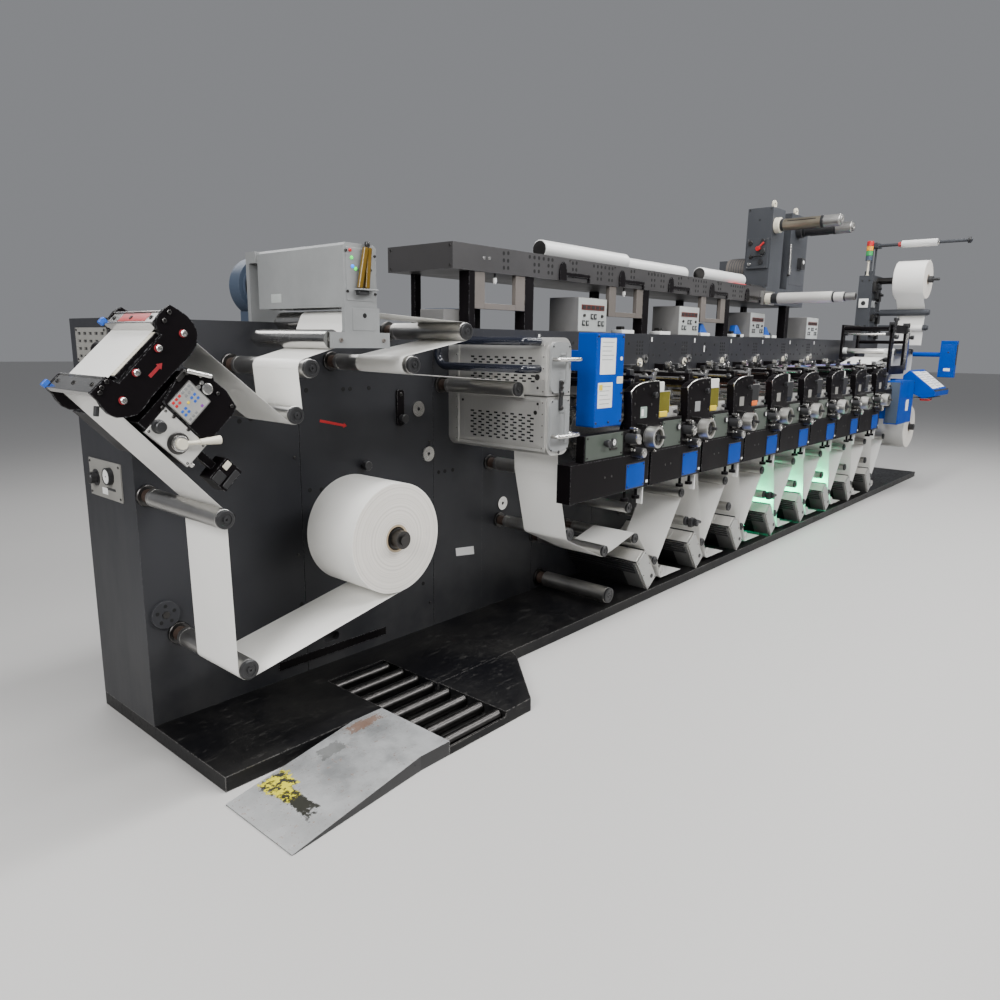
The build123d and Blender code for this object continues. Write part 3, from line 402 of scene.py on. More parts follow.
def finish_table():
    """The maker of each finish and what it gets after the name; eighteen are the record's material slots."""
    colours = bpy.context.scene.label_press_colours
    # This paper colour holds a painted warm reflection as well as the paper's own white.
    paper = tuple(colours.paper)
    return {
        "platform_black": (floor_paint,),
        "worn_steel": (worn_plate,),
        "dark_steel": (rolled_steel, (0.075, 0.072, 0.070), 0.34, 0, 0.7, 0.35),
        "cabinet_grey": (paint, tuple(colours.cabinet), 0.40, 0.12, 0.3),
        "machine_black": (paint, tuple(colours.stations), 0.36, 0.03, 0.6, 0.07, (0.42, 0.42, 0.43)),
        "light_grey": (paint, tuple(colours.treater), 0.38, 0.1, 0.3),
        "blue_grey": (paint, (0.055, 0.075, 0.11), 0.4, 0.2, 0.3),
        "grey_green": (paint, (0.062, 0.074, 0.062), 0.34, 0.1, 0.4),
        "beam_grey": (paint, (0.036, 0.0345, 0.035), 0.42, 0.0, 0.5),
        "tower_grey": (paint, (0.045, 0.048, 0.054), 0.42, 0.0, 0.3),
        "cover_blue": (paint, tuple(colours.covers), 0.36, 0.02, 0.3, 0.06),
        "panel_pale": (paint, (0.33, 0.345, 0.335), 0.4, 0.0, 0.1),
        "bracket_grey": (paint, (0.115, 0.102, 0.092), 0.4, 0.0, 0.4),
        "plate_grey": (paint, (0.20, 0.195, 0.18), 0.4, 0.1, 0.3),
        "box_grey": (paint, (0.15, 0.147, 0.143), 0.4, 0.0, 0.4),
        "brushed": (rolled_steel, (0.60, 0.59, 0.565), 0.34, 2, 1.0, 0.2, 0.7),
        "bright_steel": (rolled_steel, (0.60, 0.59, 0.57), 0.24, 1, 0.6, 0.3),
        "anodised": (rolled_steel, (0.50, 0.49, 0.47), 0.33, 1, 0.5, 0.3),
        "wheel_aluminium": (rolled_steel, (0.88, 0.86, 0.81), 0.33, 1, 1.0, 0.4),
        "bronze_worn": (rolled_steel, (0.40, 0.35, 0.27), 0.34, 1, 0.5, 0.4),
        "lamp_cover": (rolled_steel, (0.72, 0.705, 0.66), 0.38, 1, 1.0, 0.2, 0.45),
        "lamp_plate": (rolled_steel, (0.40, 0.40, 0.385), 0.40, 2, 0.8, 0.3, 0.5),
        "lamp_sheet": (rolled_steel, (0.20, 0.20, 0.195), 0.34, 1, 0.4, 0.3, 0.6),
        "control_silver": (rolled_steel, (0.62, 0.61, 0.58), 0.40, 2, 0.8, 0.25, 0.4),
        "label_paper": (web_paper, paper),
        "wrap_white": (web_paper, (0.62, 0.62, 0.61)),
        "rag_white": (web_paper, (0.70, 0.70, 0.66)),
        "wound_paper": (roll_paper, paper, "paper_roll"),
        "wound_waste_roll": (roll_paper, paper, "waste_roll"),
        "wound_rewind_roll": (roll_paper, paper, "rewind_roll"),
        "printed_paper": (printed_paper,),
        "black_plastic": (plastic, (0.014, 0.014, 0.015)),
        "ivory_plastic": (plastic, (0.62, 0.58, 0.47)),
        "card_white": (plastic, (0.72, 0.72, 0.70), 0.5),
        "hub_brown": (plastic, (0.036, 0.022, 0.016), 0.5),
        # Painted shade: this near-black stands for the dark inside holes and slots.
        "void_black": (plastic, (0.0015, 0.0015, 0.0015), 0.9),
        "ink_dark": (plastic, (0.010, 0.012, 0.020), 0.15),
        "olive_glaze": (plastic, (0.13, 0.115, 0.010), 0.2),
        "amber_glaze": (plastic, (0.13, 0.075, 0.006), 0.2),
        "tape_red": (plastic, (0.40, 0.045, 0.045), 0.3),
        "tape_tan": (plastic, (0.32, 0.16, 0.06), 0.5),
        "arrow_red": (plastic, (0.26, 0.004, 0.010), 0.5),
        # Painted light: the lit, greenish copy of the station badge, used on the first station.
        "badge_green": (plastic, (0.26, 0.33, 0.29), 0.3),
        "display_red": (plastic, (0.10, 0.018, 0.012)),
        "key_purple": (plastic, (0.20, 0.03, 0.30)),
        "signal_red": (plastic, (0.47, 0.004, 0.008)),
        "signal_blue": (plastic, (0.010, 0.09, 0.45)),
        "signal_yellow": (plastic, (0.70, 0.52, 0.02)),
        "signal_green": (plastic, (0.02, 0.30, 0.07)),
        "signal_orange": (plastic, (0.70, 0.14, 0.02)),
        "signal_amber": (plastic, (0.75, 0.30, 0.01)),
        "lamp_light": (glow, tuple(colours.lamp_glow), 38.0),
        "pilot_green": (glow, (0.02, 1.0, 0.10), 0.7),
        "pilot_blue": (glow, (0.005, 0.20, 1.0), 1.2),
    }


MADE_FINISHES = {}


def finish_named(name):
    """The material of that name, made the first time that it is asked for."""
    if name not in MADE_FINISHES:
        maker, *values = finish_table()[name]
        MADE_FINISHES[name] = maker(name, *values)
    return MADE_FINISHES[name]


def circle(radius, sides):
    return [(radius * cos(2 * pi * i / sides), radius * sin(2 * pi * i / sides)) for i in range(sides)]


def rounded_box(low, high, radius, steps=3):
    """A rectangle between two (across, up) corners, with rounded corners."""
    centres = ((high[0] - radius, high[1] - radius), (low[0] + radius, high[1] - radius),
               (low[0] + radius, low[1] + radius), (high[0] - radius, low[1] + radius))
    outline = []
    for quarter, (x, z) in enumerate(centres):
        for i in range(steps + 1):
            angle = pi / 2 * (quarter + i / steps)
            outline.append((x + radius * cos(angle), z + radius * sin(angle)))
    return outline


def drawn_in(outline, depth):
    """An outline moved in by a small depth, corner by corner."""
    area = sum(a[0] * b[1] - b[0] * a[1] for a, b in zip(outline, outline[1:] + outline[:1]))
    turn = 1 if area > 0 else -1
    moved = []
    for before, here, after in zip(outline[-1:] + outline[:-1], outline, outline[1:] + outline[:1]):
        first = Vector((here[0] - before[0], here[1] - before[1])).normalized()
        second = Vector((after[0] - here[0], after[1] - here[1])).normalized()
        lean = Vector((-first.y - second.y, first.x + second.x)) * turn
        scale = depth / max(0.3, 1 + first.dot(second))
        moved.append((here[0] + lean.x * scale, here[1] + lean.y * scale))
    return moved


class Piece:
    """One visible object, built up from rings of points in millimetres."""

    def __init__(self, place=None):
        self.points = []
        self.faces = []
        self.shades = []
        self.finishes = []
        self.place = place or Matrix.Identity(4)

    def skin(self, rings, finish, closed=False):
        """Joins rings of points, each to the next, and caps the ends; closed joins the last to the first."""
        if finish not in self.finishes:
            self.finishes.append(finish)
        start = len(self.points)
        count = len(rings[0])
        before = len(self.faces)
        for ring in rings:
            self.points.extend(self.place @ Vector(point) for point in ring)
        for i in range(len(rings) if closed else len(rings) - 1):
            this = start + i * count
            following = start + (i + 1) % len(rings) * count
            for k in range(count):
                beside = (k + 1) % count
                self.faces.append((this + k, this + beside, following + beside, following + k))
        if not closed:
            last = start + (len(rings) - 1) * count
            self.faces.append(tuple(range(start, start + count))[::-1])
            self.faces.append(tuple(range(last, last + count)))
        self.shades.extend([self.finishes.index(finish)] * (len(self.faces) - before))

    def turned(self, origin, axis, profile, finish, sides=28, closed=False):
        """A turned part: profile is (distance along the axis, radius) points."""
        axis = Vector(axis).normalized()
        side = axis.orthogonal().normalized()
        other = axis.cross(side)
        rings = []
        for along, radius in profile:
            middle = Vector(origin) + axis * along
            rings.append([middle + side * a + other * b for a, b in circle(max(radius, 0.01), sides)])
        self.skin(rings, finish, closed)

    def disc(self, place, axis, radius, thick, finish, sides=20, rim=None):
        """A flat round piece; rim is the far side's radius where that is smaller."""
        self.turned(place, axis, ((0, radius), (thick, rim or radius)), finish, sides)

    def collar(self, place, axis, radius, length, finish, sides=24, lip=2.0):
        """A round piece whose far edge is drawn in by the lip over its last 2 mm."""
        self.turned(place, axis, ((0, radius), (length - 2, radius), (length, radius - lip)), finish, sides)

    def rod(self, start, end, radius, finish, sides=20, edge=1.0):
        """A round bar between two points with chamfered ends."""
        reach = Vector(end) - Vector(start)
        length = reach.length
        edge = min(edge, radius * 0.4, length * 0.3)
        self.turned(start, reach, ((0, radius - edge), (edge, radius), (length - edge, radius),
                                   (length, radius - edge)), finish, sides)

    def pipe(self, points, radius, finish, sides=12):
        """A bent tube through points, whose corners have been rounded already."""
        path = [Vector(point) for point in points]
        side = (path[1] - path[0]).normalized().orthogonal().normalized()
        rings = []
        for before, point, after in zip(path[:1] + path, path, path[1:] + path[-1:]):
            along = (after - before).normalized()
            side = (side - along * side.dot(along)).normalized()
            other = along.cross(side)
            rings.append([point + side * a + other * b for a, b in circle(radius, sides)])
        self.skin(rings, finish)

    def plate(self, outline, y, finish, edge=1.0):
        """A plate of an (x, z) outline over the range y, with a chamfer round both faces."""
        edge = min(edge, abs(y[1] - y[0]) * 0.4)
        inner = drawn_in(outline, edge)
        self.skin([[(x, depth, z) for x, z in shape] for shape, depth in (
            (inner, y[0]), (outline, y[0] + edge), (outline, y[1] - edge), (inner, y[1]))], finish)

    def slab(self, x, y, z, finish, corner=2.0, edge=1.0):
        """A box over three ranges, with rounded corners seen from the front."""
        corner = min(corner, (x[1] - x[0]) * 0.45, (z[1] - z[0]) * 0.45)
        self.plate(rounded_box((x[0], z[0]), (x[1], z[1]), corner), y, finish, edge)

    def screws(self, places, y, radius, head=None, finish=STEEL):
        """Socket screws at (x, z) places of a face that looks to the front."""
        head = head or radius * 0.8
        for x, z in places:
            self.turned((x, y, z), FRONT, ((0, radius), (head - radius * 0.2, radius), (head, radius * 0.82),
                                           (head, radius * 0.45), (head * 0.45, radius * 0.42)), finish, 12)

    def build(self, name, body="press", replaces=()):
        """Makes the object and lets it ride on a body."""
        mesh = bpy.data.meshes.new(name)
        mesh.from_pydata([ORIGIN + point * MM for point in self.points], [], self.faces)
        for finish in self.finishes:
            mesh.materials.append(finish_named(finish))
        mesh.polygons.foreach_set("material_index", self.shades)
        tidy = bmesh.new()
        tidy.from_mesh(mesh)
        bmesh.ops.recalc_face_normals(tidy, faces=tidy.faces)
        tidy.to_mesh(mesh)
        tidy.free()
        mesh.shade_smooth()
        mesh.set_sharp_from_angle(angle=radians(32))
        made = bpy.data.objects.new(name, mesh)
        bpy.context.scene.collection.objects.link(made)
        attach(made, body)
        if replaces:
            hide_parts(*replaces)


class PressOperator(bpy.types.Operator):
    """Shared by all the operators that make pieces of the press."""

    bl_options = {"REGISTER", "UNDO"}

    def execute(self, context):
        self.make(context)
        return {"FINISHED"}


class LABELPRESS_OT_finishes(PressOperator):
    """Gives every CAD node the finish of its material slot, and three nodes a finish of their own"""

    bl_idname = "label_press.finishes"
    bl_label = "Paint the Frame"

    def make(self, context):
        own = {"paper_roll": "wound_paper", "end_plates": "plate_grey", "top_boxes": "box_grey"}
        for name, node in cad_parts.items():
            for slot in node.material_slots:
                slot.material = finish_named(own.get(name, slot.material.name.split(".")[0]))


class LABELPRESS_OT_rollers(PressOperator):
    """Turns the idler rollers of the infeed and of the stations"""

    bl_idname = "label_press.rollers"
    bl_label = "Idler Rollers"

    def make(self, context):
        turning_height = 130
        for node, name in (("infeed_idlers", "infeed_rollers"), ("station_idlers", "station_rollers")):
            piece = Piece()
            for low, high in solids(node):
                z = (low.z + high.z) / 2
                turning = z < turning_height and low.x > AXES[0]
                looks = (BRIGHT, BRUSHED) if turning else (ANODISED, BLACK)
                self.roller(piece, (low.x + high.x) / 2, z, (high.x - low.x) / 2 - 6, low.y, high.y, *looks)
            piece.build(name, replaces=(node,))

    def roller(self, piece, x, z, radius, tip, wall, barrel, cap):
        """An idler: wall flange, brown hub, barrel with two rings and a stepped cap."""
        length = wall - 46 - (tip + 14)
        for y, profile, finish, sides in (
                (wall, ((0, radius + 6), (8, radius + 6), (10, radius + 4), (10, 12)), STEEL, 32),
                (wall - 10, ((0, radius * 0.78), (34, radius * 0.78), (36, radius * 0.72)), "hub_brown", 32),
                (wall - 46, ((0, radius - 2), (1, radius), (16, radius), (16.5, radius - 1.2),
                             (18, radius - 1.2), (18.5, radius), (length - 1, radius), (length, radius - 2)),
                 barrel, 40),
                (tip + 14, ((0, radius * 0.94), (2, radius * 0.96), (9, radius * 0.96), (11, radius * 0.86),
                            (11, radius * 0.62), (9, radius * 0.60), (9, radius * 0.34), (13, radius * 0.30),
                            (13, radius * 0.12), (10, radius * 0.1)), cap, 32)):
            piece.turned((x, y, z), FRONT, profile, finish, sides)


def knob(piece, place, axis, radius, length, finish=BLACK):
    """A turned knob with a waist and a soft rim."""
    piece.turned(place, axis, ((0, radius * 0.7), (length * 0.25, radius * 0.7),
                               (length * 0.35, radius * 0.95), (length * 0.5, radius),
                               (length * 0.9, radius), (length, radius * 0.86)), finish, 20)


def gauge(piece, place, axis, radius, deep=10):
    """A pressure gauge: black rim, white face and a plain needle boss."""
    piece.turned(place, axis, ((0, radius), (deep - 1, radius), (deep, radius - 1.5), (deep, radius - 4),
                               (deep - 2, radius - 4.5)), BLACK)
    face = Vector(place) + Vector(axis) * (deep - 1.9)
    piece.disc(face, axis, radius - 4.6, 0.5, WHITE, 28)
    piece.disc(face, axis, 2.2, 1.6, BLACK, 12, 2.0)


def arrow(piece, start, end, y, width, finish):
    """A flat painted arrow on a face that looks to the front."""
    start, end = Vector(start), Vector(end)
    along = (end - start).normalized()
    across = Vector((-along.y, along.x)) * width / 2
    neck = end - along * width * 1.6
    outline = [start + across, neck + across, neck + across * 2.2, end, neck - across * 2.2, neck - across,
               start - across]
    piece.plate([tuple(point) for point in outline], y, finish, 0.2)


def heading(first, second):
    """The direction of the straight run between two rollers, each (x, z, radius, turn)."""
    away = Vector((second[0] - first[0], second[1] - first[1]))
    return atan2(away.y, away.x) - asin((second[3] * second[2] - first[3] * first[2]) / away.length)


def threaded(rollers, end, thick):
    """The outline of a web from the second roller on to a free end; turn is 1 where it bends left, else -1."""
    stops = [*rollers, (*end, 0, 1)]
    runs = [heading(first, second) for first, second in zip(stops, stops[1:])]
    sides = []
    for offset in (-thick / 2, thick / 2):
        side = []
        for (x, z, radius, turn), before, after in zip(stops[1:], runs, runs[1:]):
            sweep = (after - before) * turn % (2 * pi) * turn
            steps = max(2, int(abs(sweep) / radians(10)) + 1)
            away = radius + turn * offset
            for i in range(steps + 1):
                angle = before - pi / 2 * turn + sweep * i / steps
                side.append((x + away * cos(angle), z + away * sin(angle)))
        side.append((end[0] + offset * sin(runs[-1]), end[1] - offset * cos(runs[-1])))
        sides.append(side)
    return sides[0] + sides[1][::-1]


class LABELPRESS_OT_infeed(PressOperator):
    """Adds the arrow, the bare label, the bolts and the gauge of the infeed cabinet"""

    bl_idname = "label_press.infeed"
    bl_label = "Infeed Cabinet"

    def make(self, context):
        piece = Piece()
        self.front(piece)
        self.end(piece, -4)
        piece.build("infeed_fittings")

    def front(self, piece):
        arrow(piece, (642, 936), (756, 910), (-0.8, 0), 9, RED)
        piece.plate([(1312, 317), (1422, 304), (1418, 340), (1308, 352)], (-0.7, 0), WHITE, 0.2)
        piece.slab((438, 918), (-3, 0), (81, 112), "machine_black", 3, 0.6)
        x, z, thick = 58, 391, 10
        piece.turned((x, 0, z), FRONT, ((0, 42.7), (9.4, 42.7), (thick, 42)), "cabinet_grey", 40)
        # The five holes round the cover are black discs of painted shade.
        for i in range(5):
            angle = radians(90 + 72 * i)
            piece.disc((x + 27 * cos(angle), -thick, z + 27 * sin(angle)), FRONT, 6, 0.6, HOLE_SHADE, 14, 5.6)
        piece.turned((x, -thick, z), FRONT, ((0, 12), (3, 11), (3, 5)), STEEL, 20)
        for x, z in ((1005, 921), (824, 762)):
            piece.turned((x, 0, z), FRONT, ((0, 9), (13, 9), (13.4, 16.7), (33, 16.7), (35, 15)), BLACK, 24)
        piece.slab((986, 1022), (-9, 0), (892, 1030), "machine_black", 12)
        piece.screws([(1004, 1012)], -9, 7)
        # The holes in the front are black discs of painted shade.
        for x, z in ((214, 1006), (300, 655), (340, 955), (380, 960), (470, 1215), (515, 1215), (592, 1042),
                     (615, 1215), (705, 1215), (745, 1040), (775, 1040), (860, 1040), (592, 700), (640, 696),
                     (1000, 1190), (1050, 1190), (1210, 690), (1245, 690), (1290, 690), (250, 230), (1040, 560),
                     (990, 420), (1120, 240), (540, 300)):
            piece.disc((x, 0, z), FRONT, 8, 1.2, HOLE_SHADE, 12, 7.4)
        piece.screws(product((535, 1157), (150, 480, 820, 1190)), 0, 5, 3)

    def end(self, piece, face):
        """The switch, the gauge and the screws of the plates on the end that looks left."""
        piece.turned((face, 253, 787), LEFT, ((0, 26), (2, 26), (2, 18), (21, 18), (24, 15.5)), BLACK)
        gauge(piece, (face, 149, 803), LEFT, 26, 15)
        piece.slab((face - 0.5, face), (120, 180), (758, 766), BLACK, 1, 0.1)
        for y, z in (*product((88, 291), (740, 835)), (101, 1142), (300, 1142), (101, 1228), (300, 1228)):
            piece.turned((face, y, z), LEFT, ((0, 4), (2, 3.4), (2, 1.8), (1, 1.6)), STEEL, 12)
        piece.slab((face - 0.6, face), (176, 214), (742, 762), WHITE, 1, 0.1)


class LABELPRESS_OT_splice(PressOperator):
    """Adds the bolts, the ruler, the tape and the clips of the splice table"""

    bl_idname = "label_press.splice"
    bl_label = "Splice Table"

    def make(self, context):
        piece = Piece(ON_TABLE)
        front = span("splice_table")[0].y
        for u, v in ((106, -45), (38, -27), (-39, -28), (-106, -48)):
            piece.disc((u, front, v), FRONT, 9.2, 1.2, "arrow_red")
            piece.turned((u + 0.8, front - 1.2, v - 0.8), FRONT,
                         ((0, 8), (5, 7.8), (7, 6), (7, 4), (3.5, 3.6)), BRIGHT, 16)
        piece.screws(((118, 10), (95, 5), (-99, 5), (-116, 4), (-127, -1)), front, 5.5)
        arrow(piece, (-24, -56), (20, -56), (front - 0.8, front), 8, "arrow_red")
        piece.slab((-74, 64), (front + 12, front + 30), (-3, -1), IVORY, 0.8, 0.4)
        for i in range(14):
            piece.slab((-70 + 9.6 * i, -69.2 + 9.6 * i), (front + 22, front + 29), (-1, -0.8), BLACK, 0.1, 0.05)
        for u, top in ((-116, 11), (91, 19)):
            for y in (front + 36, front + 140, front + 236):
                piece.turned((u, y, top), UP, ((0, 6), (2.4, 5.6), (2.4, 3), (1, 2.8)), STEEL, 14)
            piece.slab((u - 27, u - 8), (front + 262, front + 274), (top - 2, top + 13), BLUE, 3, 1.5)
        piece.slab((u - 12, u + 14), (front + 52, front + 200), (top, top + 0.5), "tape_red", 1, 0.1)
        piece.rod((-150, front + 14, -20), (-168, front + 14, -34), 6, BLACK)
        piece.build("splice_fittings")


class LABELPRESS_OT_guide(PressOperator):
    """Adds the keys, the clamp bar and the trim of the web guide and its sensor"""

    bl_idname = "label_press.guide"
    bl_label = "Web Guide"

    def make(self, context):
        piece = Piece(ON_TABLE)
        face = -430
        self.keys(piece, -436)
        for u, v, radius, length in ((51, -173, 14, 9), (39, -154, 6, 7), (52, -153, 6, 7), (62, -140, 5, 6)):
            piece.collar((u, face, v), FRONT, radius, length, BRIGHT, 22, radius * 0.2)
        piece.screws(((-57, -124), (-54, -158), (-53, -205), (63, -202), (66, -250), (-38, -256)), face, 4.5)
        piece.rod((44, -442, -104), (78, -442, -158), 6, BRIGHT)
        piece.rod((44, -442, -108), (40, -424, -108), 7, STEEL)
        piece.slab((14, 46), (-438, -424), (-112, -100), STEEL, 3)
        self.controls(piece, face)
        self.sensor(piece, -424)
        piece.build("guide_fittings")
        bolt = Piece(ON_TABLE)
        bolt.turned((-94, span("guide_panels")[0].y, -208), FRONT,
                    ((-16, 19.4), (-0.4, 19.4), (0.5, 18), (0.5, 10), (2.5, 9.5), (2.5, 4)), BRIGHT)
        bolt.build("guide_lever_bolt", "guide_lever")

    def keys(self, piece, face):
        """The keypad: rows of coloured keys, each (u, v, finish, count)."""
        piece.slab((-41, 32), (face - 0.5, face), (-197, -128), BRUSHED, 2, 0.2)
        rows = ((-36, -134, RED, 3), (-36, -145, RED, 2), (4, -158, BLUE, 2), (4, -170, BLUE, 2),
                (-36, -164, BLUE, 2), (-36, -175, BLUE, 2), (-10, -160, YELLOW, 1), (8, -190, "key_purple", 1),
                (-2, -134, PALE, 3), (-2, -145, PALE, 3), (-36, -190, PALE, 3))
        for left, v, finish, count in rows:
            for u in range(left, left + 11 * count, 11):
                piece.slab((u, u + 7), (face - 2, face - 0.5), (v - 3, v + 3.4), finish, 1.2, 0.6)

    def controls(self, piece, face):
        """The silver plate with a knob and the lever's ring."""
        piece.plate([(-51.5, -264.5), (-51.5, -129.5), (-125.5, -131.5), (-120.5, -263.5)], (face - 1, face),
                    SILVER, 0.4)
        piece.turned((-96, face - 1, -146), FRONT, ((0, 17), (3, 17), (4, 14.5), (17, 13.5), (19, 11.5)), BLACK)
        piece.turned((-94, face - 1, -208), FRONT, ((0, 27), (2.5, 27), (3.5, 25), (3.5, 20)), STEEL)
        for u, v in ((-72, -172), (-72, -236), (-108, -244)):
            piece.slab((u - 9, u + 9), (face - 0.8, face), (v - 6, v + 6), PALE, 1.5, 0.2)
        piece.screws(((-57, -135), (-119, -137), (-57, -259), (-115, -258)), face, 3.5, 2)
        piece.turned((-108, -418, -262), (0, 0, -1), ((0, 8), (7, 8), (9, 6), (16, 6), (18, 4)), BRIGHT, 16)

    def sensor(self, piece, face):
        for x, thick, z, finish, corner in (((-102, -72), 3, (-362, -334), BLACK, 3),
                                            ((-62, -40), 1.5, (-352, -336), IVORY, 2),
                                            ((-98, -44), 5, (-384, -368), BLACK, 3)):
            piece.slab(x, (face - thick, face), z, finish, corner)


class LABELPRESS_OT_treater(PressOperator):
    """Adds the panel, insulators and pilot lights of the treater, the rings of its blower and its web"""

    bl_idname = "label_press.treater"
    bl_label = "Corona Treater"

    def make(self, context):
        piece = Piece()
        low, high = span("treater_box")
        face = low.y
        panel = face - 1.6
        piece.slab((low.x + 8, high.x - 8), (panel, face), (1318, 1462), PALE, 4, 1)
        piece.screws(((446, 1452), (548, 1444), (449, 1343), (548, 1339), (530, 1420), (532, 1405)),
                     panel, 4.4, 2.4)
        for x, z, finish in ((460, 1454, RED), (465, 1434, "pilot_green"), (468, 1411, "pilot_blue"),
                             (478, 1405, "pilot_green")):
            piece.collar((x, panel, z), FRONT, 5, 4, finish, 16, 2.4)
        for top, foot in ((508, 484), (520, 509)):
            piece.rod((top, face - 12, 1464), (foot, face - 12, 1352), 8.5, "amber_glaze", 16, 2)
        knob(piece, (514, face - 12, 1462), UP, 8, 18)
        piece.slab((470, 540), (face - 28, face), (1347, 1351), PALE, 1)
        piece.slab((476, 512), (face - 20, face - 4), (1334, 1347), BLACK, 3)
        piece.slab((low.x - 1, low.x + 0.2), (-112, -58), (1318, 1344), "panel_pale", 2, 0.2)
        stand = span("treater_stand")[0].y
        piece.slab((462, 543), (stand - 1.2, stand), (1236, 1298), PALE, 2, 0.5)
        # The hole in the stand's plate is a black disc of painted shade.
        piece.disc((505, stand - 1.2, 1278), FRONT, 7, 0.4, HOLE_SHADE, 18)
        piece.screws(((420, 1209), (574, 1209)), stand, 6.5, 4, "bracket_grey")
        blower = (523, 110, 1376)
        for radius in (80, 62, 44):
            piece.turned(blower, FRONT, ((0, radius), (4, radius), (4, radius - 6), (0, radius - 6)),
                         "blue_grey", 40)
        piece.collar(blower, FRONT, 18, 10, STEEL, lip=4)
        piece.build("treater_fittings")
        self.web()

    def web(self):
        """The web over the treater's rollers, the beam's end roller and on to the dryers."""
        thick = 0.6
        rollers = ((278, 1006, 25, 1), (320, 1132, 26, -1), (403, 1211, 27, 1), (490, 1262, 30, -1),
                   (950, 1242, 29, -1), (695, 1137, 27, 1), (1220, 1042, 27, -1))
        path = [(x, z, radius + thick, turn) for x, z, radius, turn in rollers]
        piece = Piece()
        piece.plate(threaded(path, (1266.7, 1005), thick), [corner.y for corner in span("web_upper")],
                    PAPER, 0.05)
        piece.build("web_over_treater", replaces=("web_upper",))


class LABELPRESS_OT_dryers(PressOperator):
    """Adds the slotted sheets, frames, latch, bars and bent tube of the two dryer boxes"""

    bl_idname = "label_press.dryers"
    bl_label = "Hot Air Dryers"

    def make(self, context):
        piece = Piece()
        corner = span("dryer_boxes")[0]
        self.sides(piece, corner.x)
        self.front(piece, corner.y - 8)
        piece.build("dryer_fittings")
        self.tube()

    def sides(self, piece, side):
        """The frames, screws and rows of slots of the faces that look left; the slots are black strips of
        painted shade.
        """
        for base, top in ((1022, 1214), (816, 1010)):
            for thick, y, z in ((3, (-60, -40), (base, top)), (4, (-496, -474), (base, top)),
                                (3, (-474, -60), (top - 12, top)), (3, (-474, -60), (base, base + 10))):
                piece.slab((side - thick, side), y, z, BRUSHED, 1)
            for y, i in product((-484, -50), range(5)):
                z = base + 14 + (top - base - 28) * i / 4
                piece.disc((side - 3.6, y, z), LEFT, 3, 1.6, BRIGHT, 10, 2.6)
        rows = [1154, 1144, 1134, 1090, 1080, 1070] + [946 - 10.5 * i for i in range(10)]
        for (i, z), k in product(enumerate(rows), range(8)):
            y = -122 - 41 * k - 14 * (i % 2)
            piece.slab((side - 0.4, side + 0.2), (y - 18, y), (z - 3.2, z + 3.2), HOLE_SHADE, 1, 0.1)
        for y, z, radius in ((-453, 1086, 11), (-456, 1048, 5), (-80, 985, 5), (-458, 990, 5), (-448, 958, 8)):
            piece.turned((side, y, z), LEFT, ((0, radius), (1.5, radius), (2, radius * 0.7)), STEEL, 18)

    def front(self, piece, face):
        """The latch, the screws and the bent pull bars of the end caps."""
        piece.slab((1325, 1343), (face - 8, face), (966, 1076), BLACK, 5, 1.5)
        for z, radius in ((1068, 9), (1050, 6), (1028, 10), (976, 8)):
            piece.turned((1334, face - 8, z), FRONT, ((0, radius), (3, radius), (5, radius * 0.7)), STEEL, 18)
        piece.screws(product((1288, 1384), (1196, 1032, 1000, 822)), face, 3.6, 2)
        bar = ((1290, 4), (1290, -20), (1296, -29), (1304, -32), (1406, -32), (1414, -29), (1420, -20),
               (1420, 6), (1404, 12))
        for z in (1151, 874):
            piece.pipe([(x, face + y, z) for x, y in bar], 7.5, BRIGHT, 14)
        piece.disc((1334, face, 812), FRONT, 7, 1.2, BLACK, 16, 6)

    def tube(self):
        """The bent tube that leaves the upper box at the front, runs back to the wall and returns below."""
        x, front, back, bend, corner = 1190, -458, -66, 48.5, 22
        middle, radius = 1164.5, 15
        half = [(1268, front, bend)]
        for i in range(5):
            angle = -pi / 2 * (1 + i / 4)
            half.append((x + corner + corner * cos(angle), front + corner + corner * sin(angle), bend))
        for i in range(7):
            angle = pi / 2 * (1 - i / 6)
            half.append((x, back + bend * cos(angle), bend * sin(angle)))
        piece = Piece()
        path = [(px, y, middle + z) for px, y, z in half]
        path += [(px, y, middle - z) for px, y, z in half[-2::-1]]
        piece.pipe(path, radius, "ink_dark", 20)
        piece.build("dryer_pipe", replaces=("dryer_tube",))


class LABELPRESS_OT_drive(PressOperator):
    """Adds the bare labels, bolts and seam of the blue drive cover"""

    bl_idname = "label_press.drive"
    bl_label = "Drive Cover"

    def make(self, context):
        piece = Piece()
        cabinet = span("drive_cabinet")[0].y
        face = cabinet - 1.5
        piece.slab((1603, 1797), (face, cabinet), (884, 1246), COVER, 5, 0.7)
        for x, z in (((1628, 1738), (1088, 1230)), ((1618, 1722), (955, 1056))):
            piece.slab(x, (face - 0.6, face), z, WHITE, 2, 0.2)
            for i in range(5):
                line = z[1] - 16 - 17 * i
                piece.slab((x[0] + 12, x[1] - 14 - 9 * (i % 3)), (face - 0.8, face - 0.6),
                           (line - 1.2, line + 1.2), PALE, 0.4, 0.05)
        piece.slab((1626, 1650), (face - 0.9, face - 0.6), (1026, 1048), YELLOW, 1, 0.1)
        piece.turned((1780, face, 1150), FRONT, ((0, 8), (1.5, 8), (1.5, 5), (0.3, 5)), WHITE, 18)
        piece.slab((1752, 1797), (face - 0.7, face), (1050, 1078), IVORY, 2, 0.2)
        piece.screws((*product((1612, 1788), (1236, 896)), (1700, 896), (1788, 1010)), face, 5, 3)
        piece.build("drive_cover_fittings")


